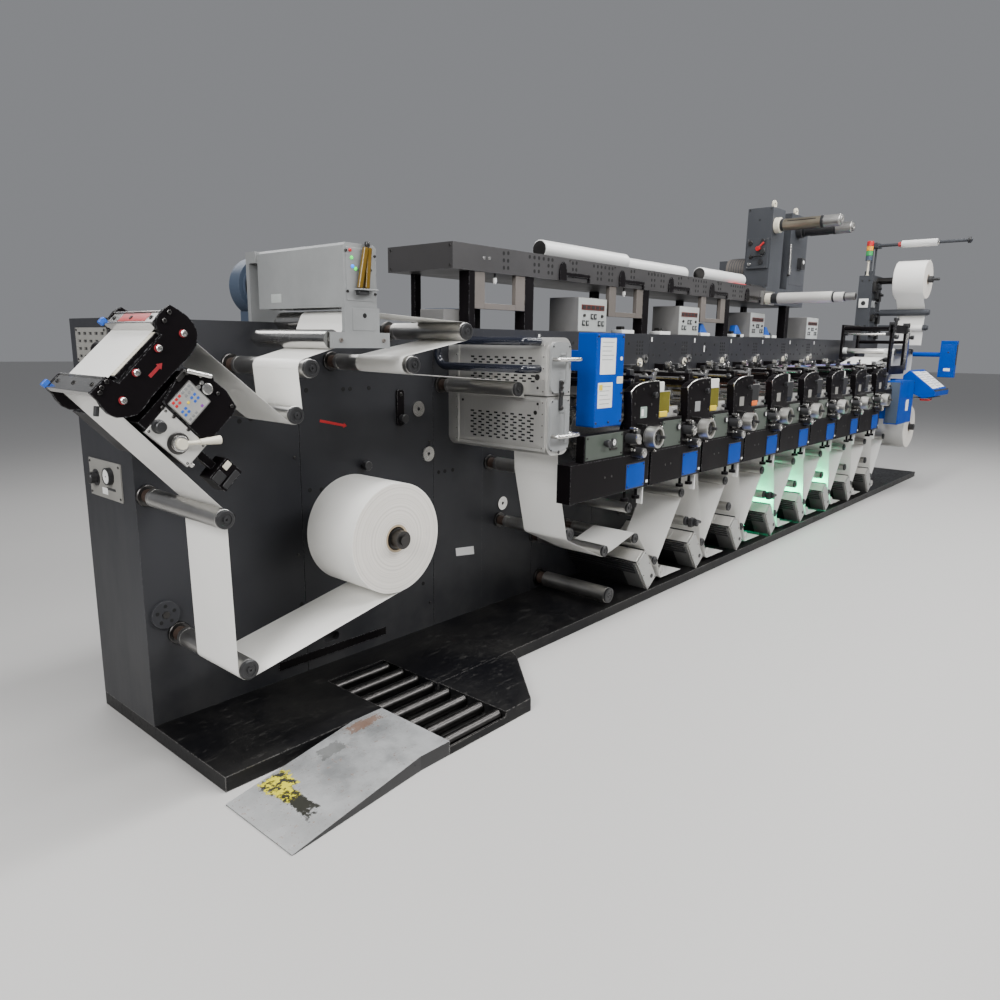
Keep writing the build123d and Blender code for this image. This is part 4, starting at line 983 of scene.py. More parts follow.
class LABELPRESS_OT_stations(PressOperator):
    """Adds the levers, studs, gauges, rags and ink of the eight print stations"""

    bl_idname = "label_press.stations"
    bl_label = "Print Stations"

    def make(self, context):
        chance = random.Random(11)
        for number, axis in enumerate(AXES):
            piece = Piece(Matrix.Translation((axis, 0, 0)))
            self.plate(piece, number)
            self.studs(piece)
            self.panel(piece)
            self.bay(piece, number)
            self.crown(piece, chance)
            self.wall(piece, number)
            piece.build(f"station_{number + 1}_fittings")
            self.wheel(axis, number + 1)
        self.regulators()
        self.printed_strip()

    def plate(self, piece, number):
        """The bright edge, the badge, whose tone by station is painted light and shade, the knob and the screws
        of the side plate.
        """
        edge = [(-118, 985), (-123, 1012), (-106, 1023), (-89, 1032), (-64, 1039), (-41, 1044), (-4, 1048),
                (34, 1051), (70, 1051.5), (104, 1051)]
        piece.pipe([(x, PLATE_FACE + 2, z) for x, z in edge], 2.6, BRIGHT, 8)
        # The badges are one kind of plate in painted lit and shaded copies: lighter on the first two stations,
        # darker grey on the rest.
        badge = {0: "badge_green", 1: PALE}.get(number, "plate_grey")
        piece.slab((-46, 6), (PLATE_FACE - 2, PLATE_FACE), (896, 944), badge, 3, 0.6)
        if number == 0:
            piece.slab((-40, -22), (PLATE_FACE - 2.6, PLATE_FACE - 2), (904, 934), PAPER, 1, 0.1)
        knob(piece, (56, PLATE_FACE, 992), FRONT, 13, 20)
        piece.screws(((-92, 1010), (84, 1030), (-92, 900), (88, 900), (20, 1030), (-30, 1020), (130, 862),
                      (300, 862), (-95, 960), (40, 950)), PLATE_FACE, 5, 4)

    def studs(self, piece):
        face = PLATE_FACE - 57
        for x, z in ((-141, 818), (-90, 755)):
            piece.collar((x, PLATE_FACE, z), FRONT, 21.5, 52, BLACK, 28, 1.3)
            piece.turned((x, face, z), FRONT, ((0, 17), (2, 17), (2.6, 15), (2.6, 11), (1.2, 10.5)),
                         ANODISED, 24)
            piece.disc((x, face - 1.2, z), FRONT, 5, 2.5, BRIGHT, 14, 4.4)
        rows = ((-118, 856, 9, 34, BRIGHT), (-96, 842, 12, 22, BLACK), (-64, 868, 7, 46, STEEL),
                (-116, 776, 8, 30, STEEL), (-58, 792, 9, 18, BRIGHT), (-62, 728, 10, 24, BLACK),
                (-140, 770, 7, 40, BRIGHT), (60, 770, 8, 26, STEEL), (86, 812, 11, 16, BLACK),
                (100, 850, 8, 30, BRIGHT), (70, 745, 6, 20, BRIGHT))
        for x, z, radius, length, finish in rows:
            waist = length * 0.6
            profile = ((0, radius), (waist, radius), (waist, radius * 0.7), (length - 1.5, radius * 0.7),
                       (length, radius * 0.5))
            piece.turned((x, PLATE_FACE, z), FRONT, profile, finish, 16)
        piece.slab((-132, -84), (PLATE_FACE - 10, PLATE_FACE), (786, 800), STEEL, 3)
        piece.slab((-78, -60), (PLATE_FACE - 14, PLATE_FACE), (806, 850), BLACK, 4)

    def panel(self, piece):
        """The black panel on the drive housing, with the label and the arm below it."""
        piece.slab((-142, 11), (PLATE_FACE - 1.2, PLATE_FACE), (593, 707), BLACK, 3, 0.4)
        piece.screws(product((-129, -2), (606, 694)), PLATE_FACE - 3, 4, 2.4)
        piece.slab((26, 44), (PLATE_FACE - 1, PLATE_FACE), (606, 618), WHITE, 1, 0.2)
        piece.slab((33, 41), (-462, -432), (505, 588), WHITE, 2)
        for x in (-300, -250):
            piece.disc((x, PLATE_FACE, 668), FRONT, 5, 1, STEEL, 12, 4.6)

    def bay(self, piece, number):
        """The inked trough and its guard, the rods behind them and, at four stations, a rag."""
        ink, guard = {0: (YELLOW, "olive_glaze"), 1: (YELLOW, "olive_glaze"),
                      2: ("signal_orange", BLACK)}.get(number, ("ink_dark", BLACK))
        piece.slab((124, 294), (PLATE_FACE + 18, -66), (888, 908), ink, 2, 0.5)
        piece.slab((122, 222), (PLATE_FACE + 10.6, PLATE_FACE + 12), (904, 1000), guard, 4, 0.4)
        piece.slab((128, 200), (PLATE_FACE + 6, PLATE_FACE + 10.6), (888, 914), ink, 4, 2)
        piece.slab((250, 290), (PLATE_FACE + 8, PLATE_FACE + 12), (890, 926), BRUSHED, 3)
        knob(piece, (262, PLATE_FACE + 8, 908), FRONT, 10, 18)
        for x, z, radius, finish in ((236, 958, 9, BRIGHT), (272, 972, 7, STEEL), (250, 1000, 10, STEEL),
                                     (206, 1012, 8, BRIGHT)):
            piece.rod((x, PLATE_FACE + 40, z), (x, AT_WALL, z), radius, finish)
            piece.collar((x, PLATE_FACE + 40, z), FRONT, radius + 5, 14, BLACK, 18)
        piece.slab((232, 246), (-300, AT_WALL), (1018, 1046), STEEL, 3)
        rag = {0: 46, 1: 96, 3: 34, 5: 40}.get(number)
        if rag:
            piece.slab((118, 118 + rag), (PLATE_FACE + 8, PLATE_FACE + 14), (1000, 1046), "rag_white", 6, 2)

    def crown(self, piece, chance):
        """Clamps, screws and short rods on the crosshead and on the plate's top."""
        deck = 1076
        for i in range(5):
            y = -420 + 84 * i + chance.uniform(-14, 14)
            width, height = chance.uniform(24, 40), chance.uniform(10, 26)
            x = chance.uniform(-10, 8) - 48
            finish = chance.choice((STEEL, BLACK, BRIGHT, BLACK))
            piece.slab((x, x + width), (y, y + chance.uniform(18, 34)), (deck, deck + height), finish, 3)
            if i % 2:
                piece.turned((x + 14, y + 10, deck + height), UP, ((0, 5), (10, 5), (10, 9), (18, 9), (20, 7)),
                             chance.choice((BRIGHT, BLACK)), 16)
        for x, z, radius in ((-96, 1052, 7), (66, 1074, 6), (96, 1064, 8)):
            start = PLATE_FACE + chance.uniform(6, 40)
            piece.rod((x, start, z), (x, AT_WALL, z), radius, chance.choice((BRIGHT, STEEL)))
            piece.collar((x, start + 22, z), FRONT, radius + 6, 16, chance.choice((BLACK, STEEL)), 18)
        piece.slab((20, 78), (-74, AT_WALL), (1056, 1104), BLACK, 5)
        piece.turned((48, -74, 1082), FRONT, ((0, 19), (34, 19), (36, 16), (36, 8)),
                     chance.choice((BRIGHT, STEEL)), 24)
        piece.slab((66, 102), (PLATE_FACE + 26, PLATE_FACE + 38), (1050, 1074), "rag_white", 5, 2)
        piece.slab((-104, -78), (-92, -60), (1076, 1116), BRIGHT, 4)

    def wall(self, piece, number):
        """The holes, the labels and the two round plates on the wall over a station; the holes are black discs
        of painted shade.
        """
        for column, row in product(range(3), range(4)):
            piece.disc((26 * column - 300, 0, 1160 + 20 * row), FRONT, 7, 0.8, HOLE_SHADE, 10, 6.6)
        for x, z in ((-180, 1150), (-130, 1150), (-60, 1148), (0, 1180), (60, 1150), (110, 1210), (-20, 1216)):
            piece.disc((x, 0, z), FRONT, 7.5, 1, HOLE_SHADE, 10, 7)
        piece.slab((-158, -146), (-1, 0), (1222, 1246), WHITE, 1, 0.2)
        if number in (1, 3):
            piece.slab((-30, -18), (-1, 0), (1166, 1204), WHITE, 1, 0.2)
        if number:
            for x, z, radius, finish in ((-275, 1109, 25, IVORY), (-215, 1130, 21, BRIGHT)):
                piece.turned((x, -6, z), FRONT, ((0, radius), (1.2, radius), (1.2, 9), (0, 9)), finish)

    def wheel(self, axis, number):
        front = span(f"handwheel_{number}")[0].y
        rim = PLATE_FACE - 70.3
        piece = Piece(Matrix.Translation((axis, 0, WHEEL_Z)))
        piece.turned((0, rim + 45, 0), BACK, ((0, 46.1), (0.4, 46.6), (1.4, 46.6), (1.8, 46.1)), STEEL, 44)
        piece.disc((0, rim + 12.2, 0), FRONT, 36.6, 0.6, STEEL, 36)
        piece.turned((0, rim + 8, 0), FRONT, ((0, 15.4), (6, 15.4), (7, 13), (7, 5), (4, 4.6)), BLACK, 24)
        piece.disc((27, front, 0), FRONT, 6.6, 1, BLACK, 16)
        piece.turned((27, front + 22, 0), FRONT, ((0, 7.6), (20, 8.2), (22, 6.6)), BLACK, 16)
        piece.build(f"wheel_{number}_fittings", f"wheel_{number}")

    def regulators(self):
        """The knob, gauges and screws of the nine regulator plates."""
        piece = Piece()
        face = span("regulator_plates")[0].y
        knob(piece, (1679, face, 812), FRONT, 16, 26)
        gauge(piece, (1735, face, 812), FRONT, 17)
        piece.slab((1712, 1766), (face - 5, face), (780, 790), STEEL, 2)
        piece.screws(product((1555, 1802), (762, 840)), face, 4.5, 3)
        for axis in AXES[:-1]:
            gauge(piece, (axis + 286, face, 836), FRONT, 15)
            piece.screws(product((axis + 160, axis + 306), (762, 860)), face, 4, 2.6)
        piece.build("regulator_fittings")

    def printed_strip(self):
        """The printed stretch of the web over the last stations, and the bare one on to the die frame."""
        piece = Piece()
        end = AXES[7]
        piece.slab((AXES[4] + 110, end - 10), (-300, -190), (1076.2, 1077.4), "printed_paper", 2, 0.3)
        path = [(end - 12, 1077), (end + 60, 1081), (end + 190, 1104), (end + 300, 1122), (5818, 1127)]
        piece.plate(path + [(x, z + 1) for x, z in reversed(path)], (-392, -150), PAPER, 0.1)
        piece.build("printed_strip")


class LABELPRESS_OT_lamps(PressOperator):
    """Adds the covers, fins and end screws of the lamps, and the green light of those that burn"""

    bl_idname = "label_press.lamps"
    bl_label = "Lamp Dryers"

    def make(self, context):
        burning = (3, 4, 5)
        for number, axis in enumerate(AXES):
            tilt = Matrix.Rotation(radians(-36), 4, "Y")
            piece = Piece(Matrix.Translation((axis + 194, 0, 151)) @ tilt)
            self.cover(piece)
            self.end(piece, -414)
            if number in burning:
                for x, y, z in (((42, 44), (-392, -30), (44, 88)), ((-49, -47), (-250, -60), (-40, -26)),
                                ((42, 44), (-392, -30), (-86, -70))):
                    piece.slab(x, y, z, "lamp_light", 2, 0.5)
            piece.build(f"lamp_{number + 1}_fittings")
        self.web_turns()
        self.brakes()

    def cover(self, piece):
        piece.slab((-42, 42), (-403, -1), (92, 95), "lamp_cover", 1)
        for x in (-44, 37):
            piece.slab((x, x + 7), (-408, -1), (92, 98), BLACK, 1.5)
        piece.slab((-30, 30), (-300, -180), (95, 96.2), "lamp_cover", 3, 0.5)
        for z in (82, 64, 46, 28):
            piece.rod((-48, -392, z), (-48, -8, z), 7, BLACK, 14)
        piece.slab((-50, -42), (-404, -312), (-88, 88), "lamp_sheet", 3)
        piece.slab((-47, -42), (-404, -2), (-90, 12), BLACK, 2)

    def end(self, piece, face):
        """The end plate with its cable hole and screws."""
        plate = face - 1.5
        piece.slab((-43, 41), (plate, face), (-92, 93), "lamp_plate", 3, 0.6)
        piece.turned((14, plate, -58), FRONT, ((0, 11), (1.6, 11), (1.6, 8.6), (0.2, 8.4)), STEEL, 20)
        piece.disc((14, plate + 0.1, -58), FRONT, 8, 0.4, BLACK)
        piece.screws(((-36, 84), (34, 84), (-36, -84), (34, -84), (-36, 0), (34, 12)), plate, 3, 1.8)

    def web_turns(self):
        """The web where it goes down round the turning roller and on under the next lamp."""
        across = (span("web_stations")[0].y, span("paper_roll")[1].y)
        path = [(320.5, 168), (343.0, 104), (345.6, 88), (353, 76.5), (364, 71.8), (380, 71.2),
                (470, 70.6), (566, 70)]
        outline = path + [(x + 0.4, z + 0.8) for x, z in reversed(path)]
        piece = Piece()
        for axis in AXES[:-1]:
            piece.place = Matrix.Translation((axis, 0, 0))
            piece.plate(outline, across, PAPER, 0.05)
        piece.build("web_turns")

    def brakes(self):
        """The black tension brakes on two of the station rollers."""
        piece = Piece()
        for axis in (AXES[1], AXES[3]):
            piece.place = Matrix.Translation((axis + 96, 0, 322))
            piece.slab((-4, 44), (-432, -409), (-30, 16), BLACK, 8, 3)
            piece.rod((20, -440, 6), (72, -440, -10), 9, BLACK)
            piece.rod((30, -432, -14), (30, -450, -14), 12, BLACK)
        piece.build("roller_brakes")


class LABELPRESS_OT_beam(PressOperator):
    """Adds the holes and bolts of the overhead beam and the wrapped rolls on it"""

    bl_idname = "label_press.beam"
    bl_label = "Overhead Beam"

    def make(self, context):
        piece = Piece()
        self.holes(piece)
        low = span("overhead_beam")[0]
        for x, z in ((1471, 1544), (1504, 1545)):
            piece.disc((x, 0, z), FRONT, 8, 2.5, BRIGHT, 16, 7)
        for y, z in product((16, 366), (1504, 1578)):
            piece.disc((low.x, y, z), LEFT, 6, 2, STEEL, 14, 5)
        piece.screws([(2060 + 380 * i, 1582) for i in range(6)], 0, 5, 3)
        for x in (1560, 2560):
            piece.rod((x, 20, 1490), (x, 20, 1470), 5, BLACK)
            piece.turned((x, 20, 1472), (0, 0, -1), ((0, 8), (14, 9), (24, 5), (26, 2)), WHITE, 16)
        for right in (1741, 2725, 3709):
            left = right - 320
            for x, top in (((left - 0.6, left + 61.6), 1489.6), ((right - 61.6, right + 0.6), 1489.6),
                           ((left + 61, right - 61), 1365.6)):
                piece.slab(x, (5, 27), (1342.4, top), "bracket_grey", 1)
        piece.build("beam_fittings")
        self.rolls()

    def holes(self, piece):
        """Groups of dark holes that come again and again along the beam's front; they are black patches of
        painted shade.
        """
        low, high = span("overhead_beam")
        holes = ((1592, 1573), (1621, 1576), (1593, 1545), (1620, 1545), (1594, 1515), (1621, 1516),
                 (1764, 1574), (1797, 1574), (1829, 1574), (1862, 1574), (1897, 1574), (1926, 1574),
                 (1798, 1544), (1829, 1545), (1898, 1547), (1926, 1547), (1799, 1516), (1829, 1517),
                 (1899, 1517), (1926, 1517))
        for shift, (x, z) in product((0, 490, 1000, 1500, 2000), holes):
            if low.x + 20 < x + shift < high.x - 20:
                piece.slab((x + shift - 7, x + shift + 7), (-0.6, 0.1), (z - 8, z + 8), HOLE_SHADE, 6, 0.1)

    def rolls(self):
        piece = Piece()
        for low, high in solids("top_tubes"):
            y, z = (low.y + high.y) / 2, (low.z + high.z) / 2
            radius = (high.z - low.z) / 2
            length = high.x - low.x
            piece.turned((low.x, y, z), (1, 0, 0), (
                (0, radius * 0.55), (0, radius - 3), (3, radius), (length * 0.5, radius), (length - 3, radius),
                (length, radius - 3), (length, radius * 0.55)), "wrap_white", 32)
            for x, axis in ((low.x, LEFT), (high.x, (1, 0, 0))):
                piece.turned((x, y, z), axis, ((-6, radius * 0.9), (1, radius * 0.9), (2, radius * 0.8),
                                               (2, radius * 0.3)), STEEL)
        piece.build("wrapped_rolls", replaces=("top_tubes",))


class LABELPRESS_OT_boxes(PressOperator):
    """Adds the panels with displays and switches to the boxes on top of the wall"""

    bl_idname = "label_press.boxes"
    bl_label = "Control Boxes"

    def make(self, context):
        piece = Piece()
        for low, high in solids("top_boxes"):
            if high.z - low.z > 100:
                self.panel(piece, low, high)
        for x, finish in ((2560, WHITE), (2950, WHITE), (3440, BLUE), (3880, WHITE), (3930, BLUE), (4400, BLUE),
                          (4480, WHITE)):
            piece.slab((x, x + 118), (20, 90), (1262, 1280), WHITE, 3)
            if finish == BLUE:
                piece.plate([(x + 6, 1280), (x + 108, 1280), (x + 74, 1306), (x + 40, 1336), (x + 16, 1336)],
                            (30, 76), BLUE, 4)
            else:
                piece.slab((x + 12, x + 44), (34, 66), (1280, 1298), STEEL, 3)
        piece.slab((1316, 1422), (68, 190), (1338, 1341), "blue_grey", 3)
        piece.build("control_panels")

    def panel(self, piece, low, high):
        """The front of a box: a display of five plain blocks, two knobs and six rocker switches."""
        width, height = high.x - low.x, high.z - low.z

        def inlay(x, y, z, finish, corner, edge=1.0):
            """A slab over shares of the box's width and height."""
            piece.slab([low.x + width * share for share in x], y, [low.z + height * share for share in z],
                       finish, corner, edge)

        piece.slab((low.x + 3, high.x - 3), (-3, 0), (low.z + 3, high.z - 3), "panel_pale", 3, 1)
        inlay((0.13 - 6 / width, 0.90), (-5, -3), (0.64, 0.80), "display_red", 2)
        for i in range(5):
            inlay((0.13 + 0.155 * i, 0.24 + 0.155 * i), (-6, -5), (0.67, 0.77), BLACK, 1, 0.3)
        for u in (0.2, 0.82):
            piece.turned((low.x + width * u, -3, low.z + height * 0.48), FRONT, ((0, 8), (6, 7), (6, 4)),
                         STEEL, 14)
        for u, v in ((0.42, 0.38), (0.54, 0.38), (0.14, 0.18), (0.27, 0.18), (0.68, 0.18), (0.81, 0.18)):
            inlay((u, u + 0.09), (-6, -3), (v, v + 0.16), BLACK, 1)
            inlay((u + 0.025, u + 0.065), (-7.5, -6), (v + 0.04, v + 0.12), "panel_pale", 1)


class LABELPRESS_OT_tower(PressOperator):
    """Adds the controls of the laminating tower and dresses its shafts and its stepped roller"""

    bl_idname = "label_press.tower"
    bl_label = "Laminating Tower"

    def make(self, context):
        piece = Piece()
        self.controls(piece, 4301)
        self.front(piece)
        self.reel(piece, 4425, 1728)
        for low, high in solids("laminator_tower"):
            if max(high.z - low.z, high.x - low.x) < 60:
                self.lifting_eye(piece, (low.x + high.x) / 2, high.z - 26)
        piece.build("tower_fittings")
        self.nip(4250, 1518)
        self.shaft("low", IVORY, "bronze_worn")
        self.shaft("high", BLACK, BLACK)

    def controls(self, piece, face):
        """The red lever, the knobs and the screws on the faces that look left."""
        knob(piece, (face, 70, 1850), LEFT, 16, 30, RED)
        piece.rod((face - 26, 70, 1850), (face - 26, 30, 1888), 6, RED)
        for y, z, radius, length, finish in (
                (130, 1890, 15, 18, STEEL), (45, 1896, 18, 16, BLACK), (40, 1830, 20, 22, BLACK),
                (120, 1800, 13, 20, STEEL), (50, 1764, 17, 18, BLACK), (130, 1752, 12, 14, BRIGHT)):
            knob(piece, (face, y, z), LEFT, radius, length, finish)
        piece.rod((face - 30, 120, 1800), (face - 30, 30, 1800), 5, BLACK)
        for y, z in product((18, 147), (1912, 1732)):
            piece.disc((face, y, z), LEFT, 4, 2, BRIGHT, 12, 3.4)
        for x, (y, z) in product((4321, 4654), ((14, 2106), (160, 2106), (14, 1612), (160, 1612), (90, 2040))):
            piece.disc((x, y, z), LEFT, 5, 2, STEEL, 12, 4.4)

    def front(self, piece):
        piece.rod((4640, -14, 1905), (4652, -14, 1700), 8, BRIGHT)
        piece.rod((4652, -14, 1702), (4662, 2, 1702), 9, STEEL)
        piece.slab((4810, 4880), (-34, 0), (1752, 1830), BLACK, 5)
        piece.collar((4845, -34, 1800), FRONT, 14, 4, WHITE, 20, 3)
        piece.slab((4700, 4760), (-1.4, 0), (1660, 1730), "tape_tan", 14, 0.3)
        piece.slab((4680, 4950), (-1.6, 0), (1640, 1900), "tower_grey", 4, 0.5)
        piece.slab((3905, 4075), (40, 130), (1592, 1604), RED, 6, 4)
        piece.slab((4100, 4280), (20, 60), (1592, 1606), BLACK, 4)

    def reel(self, piece, x, z):
        """The ribbed drum behind the tower."""
        piece.disc((x, 176, z), BACK, 77, 148, "bracket_grey", 40)
        for i in range(7):
            piece.turned((x, 190 + 18 * i, z), BACK, ((0, 76), (0, 79), (5, 79), (5, 76)), "tower_grey", 32)

    def lifting_eye(self, piece, x, z):
        piece.turned((x, 46.6, z), FRONT, ((0, 26.9), (13.2, 26.9), (13.2, 12.6), (0, 12.6)),
                     IVORY, closed=True)

    def nip(self, x, z):
        """The long nip roller's two barrels and the rings between and beside them."""
        piece = Piece()
        piece.turned((x, -114, z), FRONT, ((0, 34), (1, 35.4), (350, 35.4), (351, 34)), SILVER, 40)
        piece.disc((x, -475, z), FRONT, 29.4, 60, SILVER, 36)
        for start, end, radius, finish in ((-30, -69, 37, IVORY), (-70, -111, 33, BLACK),
                                           (-466, -474, 33, BLACK), (-536, -544, 27, BLACK),
                                           (-598, -603, 20, STEEL)):
            piece.rod((x, start, z), (x, end, z), radius, finish, 36)
        piece.build("nip_roller_rings")

    def shaft(self, name, collar, barrel):
        """An expanding shaft: collar, barrel with three strips, rings and a hollow nose."""
        low, high = span("expanding_shaft_" + name)
        x, z = (low.x + high.x) / 2, (low.z + high.z) / 2
        root, length = high.y, high.y - low.y
        piece = Piece()
        for back, profile, finish, sides in (
                (0, ((0, 46), (3, 50), (36, 50), (40, 46)), collar, 36),
                (40, ((0, 38), (6, 41), (18, 41), (20, 37)), BLACK, 32),
                (60, ((0, 37), (length - 190, 37)), barrel, 36),
                (length - 132, ((0, 38), (2, 40), (16, 40), (18, 38)), BLACK, 32),
                (length - 112, ((0, 38), (98, 38), (100, 36), (100, 30), (111, 30), (112, 27), (112, 12),
                                (106, 11)), ANODISED, 36)):
            piece.turned((x, root - back, z), FRONT, profile, finish, sides)
        for turn in range(3):
            angle = radians(30 + 120 * turn)
            start = Vector((x, root - 90, z)) + Vector((cos(angle), 0, sin(angle))) * 36.4
            piece.rod(start, start - Vector((0, length - 250, 0)), 3, STEEL, 10)
        piece.build(f"shaft_{name}_dressed", f"shaft_{name}",
                    replaces=("expanding_shaft_" + name,))


class LABELPRESS_OT_finishing(PressOperator):
    """Dresses the die frame, the rolls, the desk, the terminal and the signal lamps"""

    bl_idname = "label_press.finishing"
    bl_label = "Finishing End"

    def make(self, context):
        self.die_frame()
        self.column()
        self.desk()
        self.lamps()
        self.wound("waste_roll", "waste_spindle", "waste_wound", -150, -400)
        self.wound("rewind_roll", "rewind_spindle", "labels_wound", -171, -397)

    def die_frame(self):
        piece = Piece()
        for x, z, radius, finish, block in ((5830, 1175, 21, ANODISED, WHITE), (5830, 1110, 15, BRIGHT, BLACK),
                                            (5815, 1312, 9, BRIGHT, BLACK)):
            piece.turned((x, -62, z), FRONT, ((0, radius - 1), (1, radius), (346, radius), (348, radius - 1)),
                         finish)
            for y in (-62, -380):
                piece.collar((x, y, z), FRONT, radius + 5, 30, block)
        for x, z in product((5800, 6196), (1385, 1340)):
            piece.slab((x, x + 54), (-444, -400), (z - 20, z + 20), BLACK, 4)
            piece.screws([(x + 27, z)], -444, 8)
        piece.screws(product((5824, 6226), (1040, 1110, 1180, 1250)), -432, 7)
        piece.slab((6206, 6246), (-452, -432), (1020, 1330), BRIGHT, 4)
        knob(piece, (5824, -432, 1290), FRONT, 18, 40)
        knob(piece, (6226, -452, 1290), FRONT, 18, 34)
        piece.turned((5824, -444, 1385), UP, ((0, 12), (30, 12), (30, 20), (50, 20), (54, 16)), BLACK, 20)
        piece.slab((5800, 6240), (-404, -396), (1010, 1016), STEEL, 2)
        piece.build("die_fittings")

    def column(self):
        """The boxes and knobs on the rewind tower, and the wrapped bar at its top."""
        piece = Piece()
        face = 20
        for x, z, width, height, finish in (
                (6712, 1700, 60, 90, STEEL), (6790, 1640, 50, 130, BLACK), (6716, 1560, 44, 60, PALE),
                (6730, 1440, 70, 60, STEEL), (6860, 1620, 60, 80, STEEL), (6720, 1300, 120, 70, BLACK),
                (6880, 1420, 70, 120, STEEL), (6900, 1280, 50, 90, BLACK)):
            piece.slab((x, x + width), (face - 26, face), (z, z + height), finish, 5, 2)
            knob(piece, (x + width / 2, face - 26, z + height * 0.7), FRONT, 11, 24)
        piece.slab((6690, 6700), (40, 120), (1560, 1640), WHITE, 3)
        piece.turned((6690, 80, 1600), LEFT, ((0, 20), (3, 20), (3, 14)), BLACK, 20)
        for y, z in product((50, 110), (1800, 1400)):
            piece.disc((6700, y, z), LEFT, 7, 4, STEEL, 12, 6)
        x, z = 6860, 2116
        piece.collar((x, -148, z), FRONT, 31.5, 286, "wrap_white", 28, 2.5)
        piece.turned((x, -120, z), FRONT, ((0, 20), (14, 22), (26, 22), (28, 18)), "tape_red", 24)
        piece.collar((x, -436, z), FRONT, 20, 16, BRIGHT, lip=4)
        piece.turned((x, -668, z), FRONT, ((0, 15), (0, 26), (20, 26), (24, 20)), BLACK, 20)
        piece.build("column_fittings")

    def desk(self):
        """The sheets on the sloping desk, the tray below, the terminal and the blue cabinet's panels."""
        piece = Piece()
        top, foot = Vector((-480, 1021)), Vector((-693, 850))
        lift = Vector((-0.626, 0.780))

        def sheet(x, along, thick, finish, base=0.0):
            """A flat piece on the slope, over shares of the way down it."""
            rings = []
            for height in (base, base + thick):
                spots = [top + (foot - top) * share + lift * height for share in along]
                rings.append([(x[i], spots[k].x, spots[k].y) for i, k in ((0, 0), (1, 0), (1, 1), (0, 1))])
            piece.skin(rings, finish)

        sheet((6256, 6712), (0.03, 0.93), 2, COVER)
        sheet((6270, 6480), (0.08, 0.86), 1.2, WHITE, 2)
        sheet((6496, 6700), (0.10, 0.84), 1.2, WHITE, 2)
        for i, x in product(range(7), (6284, 6510)):
            share = 0.14 + 0.1 * i
            sheet((x, x + 130 + 40 * (i % 2)), (share, share + 0.025), 0.3, PALE, 3.2)
        sheet((6250, 6718), (0.93, 0.985), 8, BLACK)
        piece.plate([(6300, 796), (6420, 796), (6400, 770), (6330, 770)], (-640, -560), RED, 8)
        piece.slab((6260, 6710), (-640, -520), (790, 796), PALE, 4)
        piece.slab((6789, 6790), (-688, -588), (990, 1240), COVER, 5, 0.4)
        piece.disc((6789, -640, 1170), LEFT, 8, 1.5, BLACK, 16, 7)
        piece.slab((6788.4, 6789), (-668, -616), (1010, 1034), WHITE, 2, 0.2)
        piece.slab((6800, 6842), (-701.5, -700), (1060, 1240), BLACK, 4, 0.5)
        cabinet = -540
        piece.slab((5800, 6190), (cabinet - 1.5, cabinet), (608, 938), COVER, 5, 0.6)
        piece.slab((5990, 6070), (cabinet - 2.2, cabinet - 1.5), (700, 790), WHITE, 3, 0.2)
        piece.screws(product((5812, 6178), (622, 924)), cabinet - 1.5, 5, 3)
        piece.slab((5788.6, 5790), (-536, -446), (610, 936), "blue_grey", 4, 0.5)
        piece.build("desk_fittings")

    def lamps(self):
        """The signal lamps on their ivory foot: three colours over a grey ring."""
        low, high = span("beacon")
        x, y = (low.x + high.x) / 2, (low.y + high.y) / 2
        ring = 42
        foot = high.z - 4 * ring
        post = foot - low.z
        piece = Piece()
        piece.turned((x, y, low.z), UP, ((0, 16), (6, 16), (8, 8), (post - 10, 8), (post, 20)), IVORY, 20)
        for i, finish in enumerate(("blue_grey", GREEN, "signal_amber", RED)):
            piece.turned((x, y, foot + ring * i), UP, ((0, 26), (2, 28), (38, 28), (40, 26), (ring, 22)),
                         finish)
        piece.build("signal_lamps", replaces=("beacon",))

    def wound(self, node, body, name, back, front):
        """A roll of paper on its core and spindle, between two planes across the line."""
        low, high = span(node)
        x, z = (low.x + high.x) / 2, (low.z + high.z) / 2
        radius, width, tip = (high.z - low.z) / 2, back - front, front - low.y
        piece = Piece()
        for y, profile, finish, sides in (
                (back, ((0, 39), (0, radius - 4), (3, radius), (width * 0.35, radius - 0.5),
                        (width * 0.7, radius), (width - 3, radius), (width, radius - 4), (width, 39)),
                 "wound_" + node, 72),
                (front + 6, ((0, 38.5), (7, 38.5), (8, 37), (8, 33), (2, 32.5)), "hub_brown", 32),
                (high.y, ((0, 29), (high.y - back, 29)), STEEL, 28),
                (front, ((0, 29), (38, 29), (40, 26), (40, 12), (tip - 3, 12), (tip, 9)), BLACK, 28)):
            piece.turned((x, y, z), FRONT, profile, finish, sides)
        piece.build(name, body, replaces=(node,))


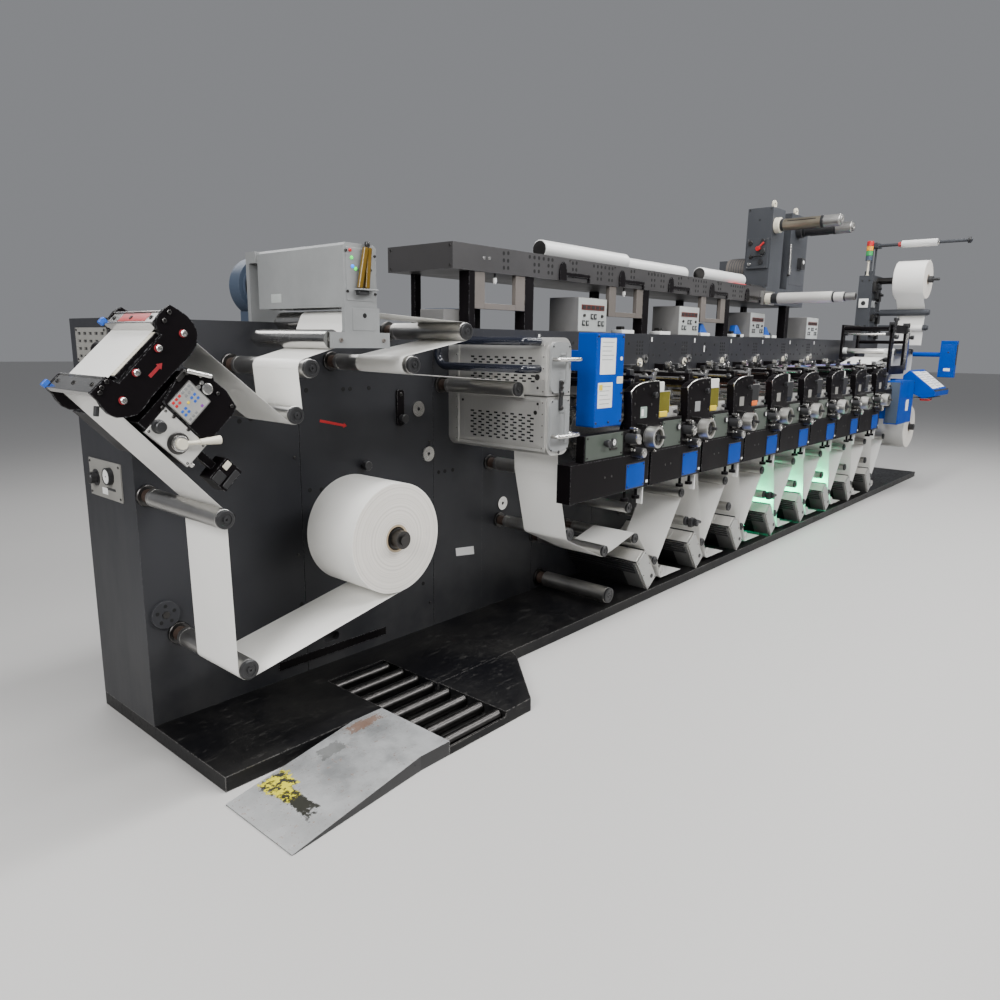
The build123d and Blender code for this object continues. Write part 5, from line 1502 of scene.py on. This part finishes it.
class LABELPRESS_OT_stage(PressOperator):
    """Sets up the pale floor, the soft studio light and the camera"""

    bl_idname = "label_press.stage"
    bl_label = "Studio Stage"

    def make(self, context):
        settings = context.scene.label_press_stage
        self.make_floor(settings)
        self.make_lights(context, settings)
        self.make_camera(context, settings)

    def make_floor(self, settings):
        finish = Finish("studio_floor")
        cloud = finish.noise(finish.place(), 0.8, 3.0)
        tone = finish.blend(cloud * 0.4, tuple(settings.floor_colour), lighter(settings.floor_colour, 0.92))
        rim = circle(40.0, 64)
        mesh = bpy.data.meshes.new("studio_floor")
        mesh.from_pydata([(x, y, -0.0005) for x, y in rim], [], [tuple(range(len(rim)))])
        mesh.materials.append(finish.surface(tone, 0.45))
        floor = bpy.data.objects.new("studio_floor", mesh)
        bpy.context.scene.collection.objects.link(floor)

    def make_lights(self, context, settings):
        world = bpy.data.worlds.new("studio")
        world.use_nodes = True
        sky = world.node_tree.nodes["Background"]
        sky.inputs["Color"].default_value = (0.93, 0.95, 1.0, 1.0)
        sky.inputs["Strength"].default_value = settings.sky
        context.scene.world = world
        rows = (("soft_front", (0.6, -3.4, 3.6), (7.5, 0.7), 330.0, (40, 0, 0)),
                ("soft_over", (0.0, -0.6, 4.2), (9.0, 0.5), 290.0, (8, 0, 0)),
                ("soft_end", (-6.4, -1.4, 2.9), (2.0, 1.4), 190.0, (0, -58, 0)),
                ("soft_back", (0.0, 3.6, 3.6), (8.0, 0.9), 110.0, (-40, 0, 0)))
        for name, place, size, power, turn in rows:
            light = bpy.data.lights.new(name, "AREA")
            light.shape = "RECTANGLE"
            light.size, light.size_y = size
            light.energy = power
            lamp = bpy.data.objects.new(name, light)
            lamp.location = place
            lamp.rotation_euler = [radians(angle) for angle in turn]
            context.scene.collection.objects.link(lamp)

    def make_camera(self, context, settings):
        lens = bpy.data.cameras.new("photo_view")
        lens.lens = settings.lens
        lens.sensor_width = 36.0
        lens.clip_end = 100.0
        camera = bpy.data.objects.new("photo_view", lens)
        place = at(-930, -2203, 0)
        camera.location = (place.x, place.y, settings.camera_height)
        camera.rotation_euler = [radians(angle) for angle in (78.338, -0.760, -48.671)]
        context.scene.collection.objects.link(camera)
        context.scene.camera = camera


class LABELPRESS_PT_panel(bpy.types.Panel):
    """Lists the steps that dress the press"""

    bl_label = "Label Press"
    bl_idname = "LABELPRESS_PT_panel"
    bl_space_type = "VIEW_3D"
    bl_region_type = "UI"
    bl_category = "Label Press"

    def draw(self, context):
        for operator in STEPS:
            self.layout.operator(operator.bl_idname)
        for group in (context.scene.label_press_colours, context.scene.label_press_stage):
            box = self.layout.box()
            for name in group.__annotations__:
                box.prop(group, name)


STEPS = (LABELPRESS_OT_finishes, LABELPRESS_OT_rollers, LABELPRESS_OT_infeed, LABELPRESS_OT_splice,
         LABELPRESS_OT_guide, LABELPRESS_OT_treater, LABELPRESS_OT_dryers, LABELPRESS_OT_drive,
         LABELPRESS_OT_stations, LABELPRESS_OT_lamps, LABELPRESS_OT_beam, LABELPRESS_OT_boxes,
         LABELPRESS_OT_tower, LABELPRESS_OT_finishing, LABELPRESS_OT_stage)
CLASSES = (LabelPressColours, LabelPressStage, *STEPS, LABELPRESS_PT_panel)


def register():
    for kind in CLASSES:
        bpy.utils.register_class(kind)
    bpy.types.Scene.label_press_colours = PointerProperty(type=LabelPressColours)
    bpy.types.Scene.label_press_stage = PointerProperty(type=LabelPressStage)


def unregister():
    del bpy.types.Scene.label_press_stage
    del bpy.types.Scene.label_press_colours
    for kind in reversed(CLASSES):
        bpy.utils.unregister_class(kind)


def main():
    register()
    for operator in STEPS:
        group, name = operator.bl_idname.split(".")
        getattr(getattr(bpy.ops, group), name)()


if __name__ == "__main__":
    main()
